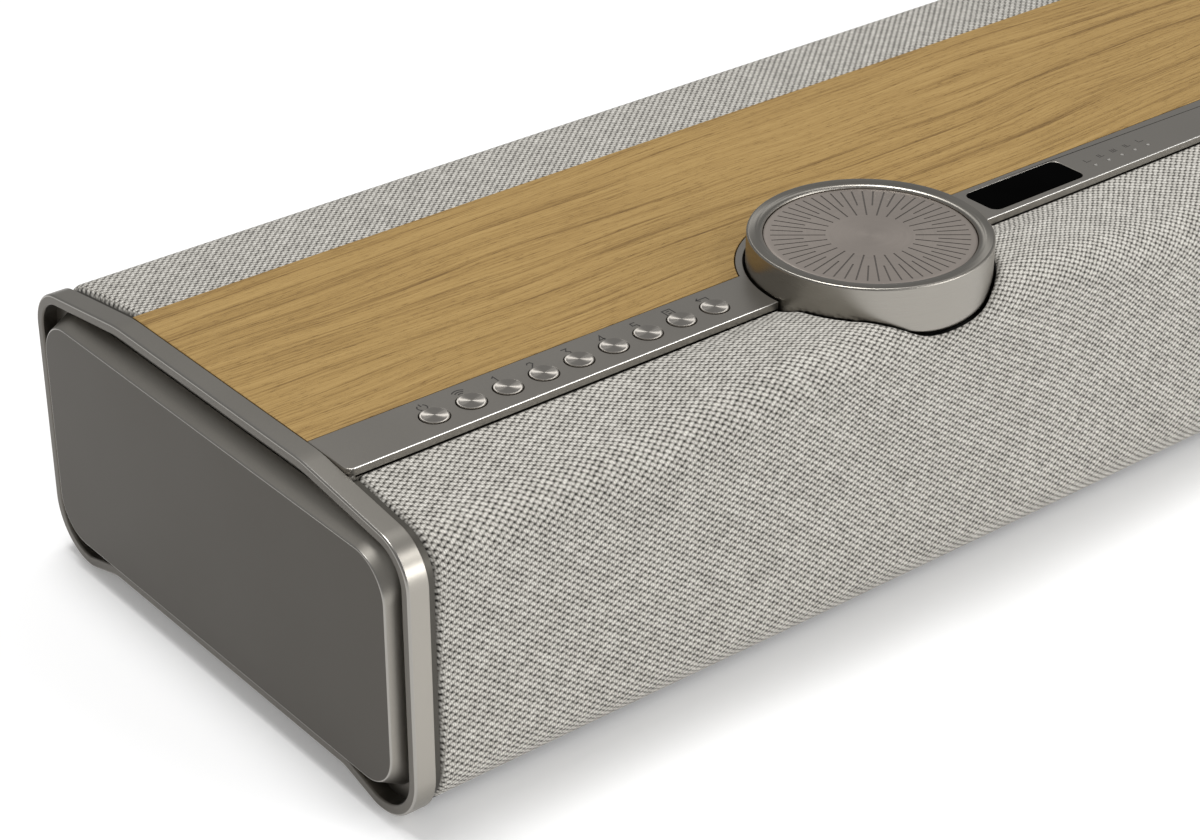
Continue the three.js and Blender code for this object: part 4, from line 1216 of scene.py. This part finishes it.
def thread_counts(x, s, half_length, dial_x):
    """Counts of the two thread families, for x along the bar and s down the cloth."""
    rows = (THREADS_DOWN_REAR if dial_x is None else THREADS_DOWN_FRONT) * s
    columns = THREADS_ALONG * x
    for end in (-1, 1):
        near = np.exp(-(half_length - end * x) / SKEW_LENGTH)
        rows = rows + SKEW_ROWS * SKEW_LENGTH * near
        columns = columns - end * SKEW_COLUMNS * s * near
    if dial_x is not None:
        depth = np.minimum(DIP_DEPTH * np.exp(-(s - DIP_START) / DIP_FADE), DIP_LIMIT)
        rows = rows - depth * np.exp(-(((x - dial_x) / DIP_WIDTH) ** 2))
    return (columns + rows) / 2, (columns - rows) / 2


def cloth_sheet(name, top_edge, xs, ss, front, opening=((0, 0), (0, 0))):
    """A closed thin sheet over a grid of x and s, with rolled edges and thread counts.

    The opening is left out of it: ((left, right), (bottom, top)).
    """
    half = xs[-1]
    x, s = np.meshgrid(xs, ss)
    y, z, out_y, out_z = cloth_face(xs, ss, top_edge, front)
    sink = np.maximum(rolled(half - np.abs(x), END_ROLL), rolled(s, TOP_ROLL))
    if front:
        beyond = np.hypot(x - DIAL_CENTRE[0], y - DIAL_CENTRE[1]) - CLOTH_HOLE + HOLE_FOOT
        below = HOLE_BOTTOM + HOLE_FOOT - z
        reach = np.hypot(np.clip(beyond, 0, None), np.clip(below, 0, None)) - HOLE_FOOT
        sink = np.maximum(sink, rolled(np.clip(reach, 0, None), HOLE_ROLL))
    layers = []
    for depth in (sink, sink + CLOTH_THICKNESS):
        layer_y = y - out_y * depth
        layer_y = layer_y if front else DEPTH - layer_y
        layers.append(np.stack([x, layer_y, z - out_z * depth], -1).reshape(-1, 3))
    counts = np.stack(thread_counts(x, s, half, DIAL_CENTRE[0] if front else None), -1).reshape(-1, 2)
    rows, columns = x.shape
    total = rows * columns
    index = np.arange(total).reshape(rows, columns)
    (left, right), (bottom, top) = opening
    middle_x, middle_z = (xs[1:] + xs[:-1]) / 2, (z[1:, 0] + z[:-1, 0]) / 2
    within_x = (middle_x > left) & (middle_x < right)
    within_z = (middle_z > bottom) & (middle_z < top)
    padded_keep = np.pad(~(within_z[:, None] & within_x[None, :]), 1)
    faces = []
    for r in range(rows - 1):
        for c in range(columns - 1):
            if not padded_keep[r + 1, c + 1]:
                continue
            a, b, d, e = index[r, c], index[r, c + 1], index[r + 1, c + 1], index[r + 1, c]
            faces += [(a, b, d, e), (e + total, d + total, b + total, a + total)]
            walls = [(a, b, r, c + 1), (b, d, r + 1, c + 2), (d, e, r + 2, c + 1), (e, a, r + 1, c)]
            for one, two, beside_row, beside_column in walls:
                if not padded_keep[beside_row, beside_column]:
                    faces.append((two, one, one + total, two + total))
    faces = [[int(i) for i in face] for face in faces]
    mesh = new_mesh(name, np.concatenate(layers), faces, [CLOTH_PAINT])
    uv = mesh.uv_layers.new(name="threads")
    corners = np.zeros(len(mesh.loops), int)
    mesh.loops.foreach_get("vertex_index", corners)
    uv.data.foreach_set("uv", counts[corners % total].astype(np.float32).ravel())
    clean(mesh)
    mesh.shade_smooth()
    mesh.set_sharp_from_angle(angle=math.radians(55))
    return link(name, mesh)


def cut_dial_hole(cloth):
    """Takes the dial's round space out of the cloth."""
    wall = [(0, HOLE_BOTTOM), *foot(CLOTH_HOLE, HOLE_BOTTOM, HOLE_FOOT)]
    profile = wall + [(CLOTH_HOLE, HOLE_TOP), (0, HOLE_TOP)]
    mesh = new_mesh("cutter", *turned(profile, DIAL_CENTRE, 128))
    clean(mesh)
    cutter = link("cutter", mesh)
    modifier = cloth.modifiers.new("hole", "BOOLEAN")
    modifier.operation = "DIFFERENCE"
    modifier.solver = "EXACT"
    modifier.object = cutter
    depsgraph = bpy.context.evaluated_depsgraph_get()
    cut_mesh = bpy.data.meshes.new_from_object(cloth.evaluated_get(depsgraph))
    cloth.modifiers.clear()
    old = cloth.data
    cloth.data = cut_mesh
    bpy.data.meshes.remove(old)
    bpy.data.objects.remove(cutter)
    bpy.data.meshes.remove(mesh)


ROLL_STEPS = [0, 0.07, 0.23, 0.45, 0.73, 1]


def cloth_columns(half, stops):
    """Places along the bar for a cloth, close together where its ends roll inwards."""
    roll = np.array(ROLL_STEPS) * END_ROLL
    inner = spaced([(-half + END_ROLL, stops[0][1]), *stops[1:], (half - END_ROLL, 1)])
    return np.unique(np.r_[roll - half, inner, half - roll].round(4))


def cloth_lines(length, stops):
    """Distances down a cloth, close together where its top edge rolls inwards."""
    roll = np.array(ROLL_STEPS) * TOP_ROLL
    return np.unique(np.r_[roll, spaced([(TOP_ROLL, stops[0][1]), *stops[1:], (length, 1)])].round(4))


def finish_cloth(cloth, word):
    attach(cloth, "cabinet")
    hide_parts(f"{word}_fabric")


def front_cloth():
    """The cloth over the front, drawn up into a collar where the dial stands in it."""
    _, high = bar_box("front_fabric")
    half, top_edge = high.x, high.y + CLOTH_REACH
    length = lengths(cloth_path(0, top_edge))[-1]
    dial = DIAL_CENTRE[0]
    xs = cloth_columns(half, [(0, 10), (dial - 130, 4), (dial - 44, 0.9), (dial + 44, 4), (dial + 130, 10)])
    ss = cloth_lines(length, [(0, 0.8), (48, 2.5)])
    cloth = cloth_sheet("front_cloth", top_edge, xs, ss, True)
    cut_dial_hole(cloth)
    finish_cloth(cloth, "front")


def rear_cloth():
    """The cloth over the rear, open at the connector bay."""
    low, high = bar_box("rear_fabric")
    half, top_edge = high.x, DEPTH - low.y + CLOTH_REACH
    path = cloth_path(0, top_edge, REAR_CLOTH_INSET)
    length = lengths(path)
    bay_low, bay_high = bar_box("connector_bay_frame")
    left, right = bay_low.x - BUTTON_GAP, bay_high.x + BUTTON_GAP
    bottom, top = bay_low.z - BUTTON_GAP, bay_high.z + BUTTON_GAP
    wall = path[:, 0] < 3
    s_top, s_low = (np.interp(-z, -path[wall, 1], length[wall]) for z in (top, bottom))
    xs = cloth_columns(half, [(0, 12), (left, 12), (right, 12)])
    ss = cloth_lines(length[-1], [(0, 1.2), (s_top, 3), (s_low, 1.5)])
    bay = ((left, right), (bottom, top))
    cloth = cloth_sheet("rear_cloth", top_edge, xs, ss, False, bay)
    finish_cloth(cloth, "rear")


# ---- floor, lights and camera


FLOOR_REACH = 9.0
WORLD_STRENGTH = 0.34
# Each light's place, the point it faces and its size in metres, and its power in watts
SOFTBOXES = {
    "key_softbox": ((-0.5, 0.22, 1.85), (-0.25, 0, 0), (0.7, 0.5), 23),
    "front_softbox": ((0.5, -1.3, 1.5), (-0.2, 0, 0.05), (0.7, 0.5), 6),
    "low_softbox": ((0.9, -2.2, 0.7), (0, 0, 0.05), (1.4, 0.8), 26),
}
# Worked out from the photograph's vanishing lines
CAMERA_PLACE = (-0.8594, -0.6267, 0.5073)
CAMERA_TILT = math.radians(59.782)
CAMERA_TURN = math.radians(-38.815)
CAMERA_LENS = 86.67
SENSOR_WIDTH = 36


def floor():
    paint = Paint("pale_floor", Roughness=0.75, Specular_IOR_Level=0.1, Emission_Strength=0.18)
    slow = paint.noise(paint.coordinates(), 1.5, 2)
    paint.colour(paint.ramp(slow, [(0.3, (0.90, 0.90, 0.90)), (0.7, (0.92, 0.92, 0.92))]))
    corners = [(x * FLOOR_REACH, y * FLOOR_REACH, 0) for x, y in ((-1, -1), (1, -1), (1, 1), (-1, 1))]
    mesh = bpy.data.meshes.new("studio_floor")
    mesh.from_pydata(corners, [], [(0, 1, 2, 3)])
    mesh.materials.append(paint.material)
    link("studio_floor", mesh)


def softbox(name, place, target, size, power):
    light = bpy.data.lights.new(name, "AREA")
    light.shape = "RECTANGLE"
    light.size, light.size_y = size
    light.energy = power
    obj = link(name, light)
    obj.location = place
    obj.rotation_euler = (Vector(target) - Vector(place)).to_track_quat("-Z", "Y").to_euler()


def world():
    """White light from all around."""
    scene = bpy.context.scene
    scene.world = bpy.data.worlds.new("studio")
    scene.world.use_nodes = True
    background = scene.world.node_tree.nodes["Background"]
    background.inputs["Color"].default_value = (1.0, 1.0, 1.0, 1)
    background.inputs["Strength"].default_value = WORLD_STRENGTH


def camera():
    data = bpy.data.cameras.new("camera")
    data.sensor_width = SENSOR_WIDTH
    data.lens = CAMERA_LENS
    obj = link("camera", data)
    obj.location = CAMERA_PLACE
    obj.rotation_euler = (CAMERA_TILT, 0, CAMERA_TURN)
    bpy.context.scene.camera = obj


paint_cad_nodes()
for side, word in ((-1, "left"), (1, "right")):
    end_frame(side, word)
    end_panel(side, word)
control_strip()
wood_panel()
for number in range(1, BUTTON_COUNT + 1):
    button(number)
display()
signs()
dial_body()
dial_disc()
for word in ("left", "centre", "right"):
    woofer_surround(word)
front_cloth()
rear_cloth()
floor()
world()
for name, settings in SOFTBOXES.items():
    softbox(name, *settings)
camera()
bpy.context.scene.view_settings.view_transform = "Standard"
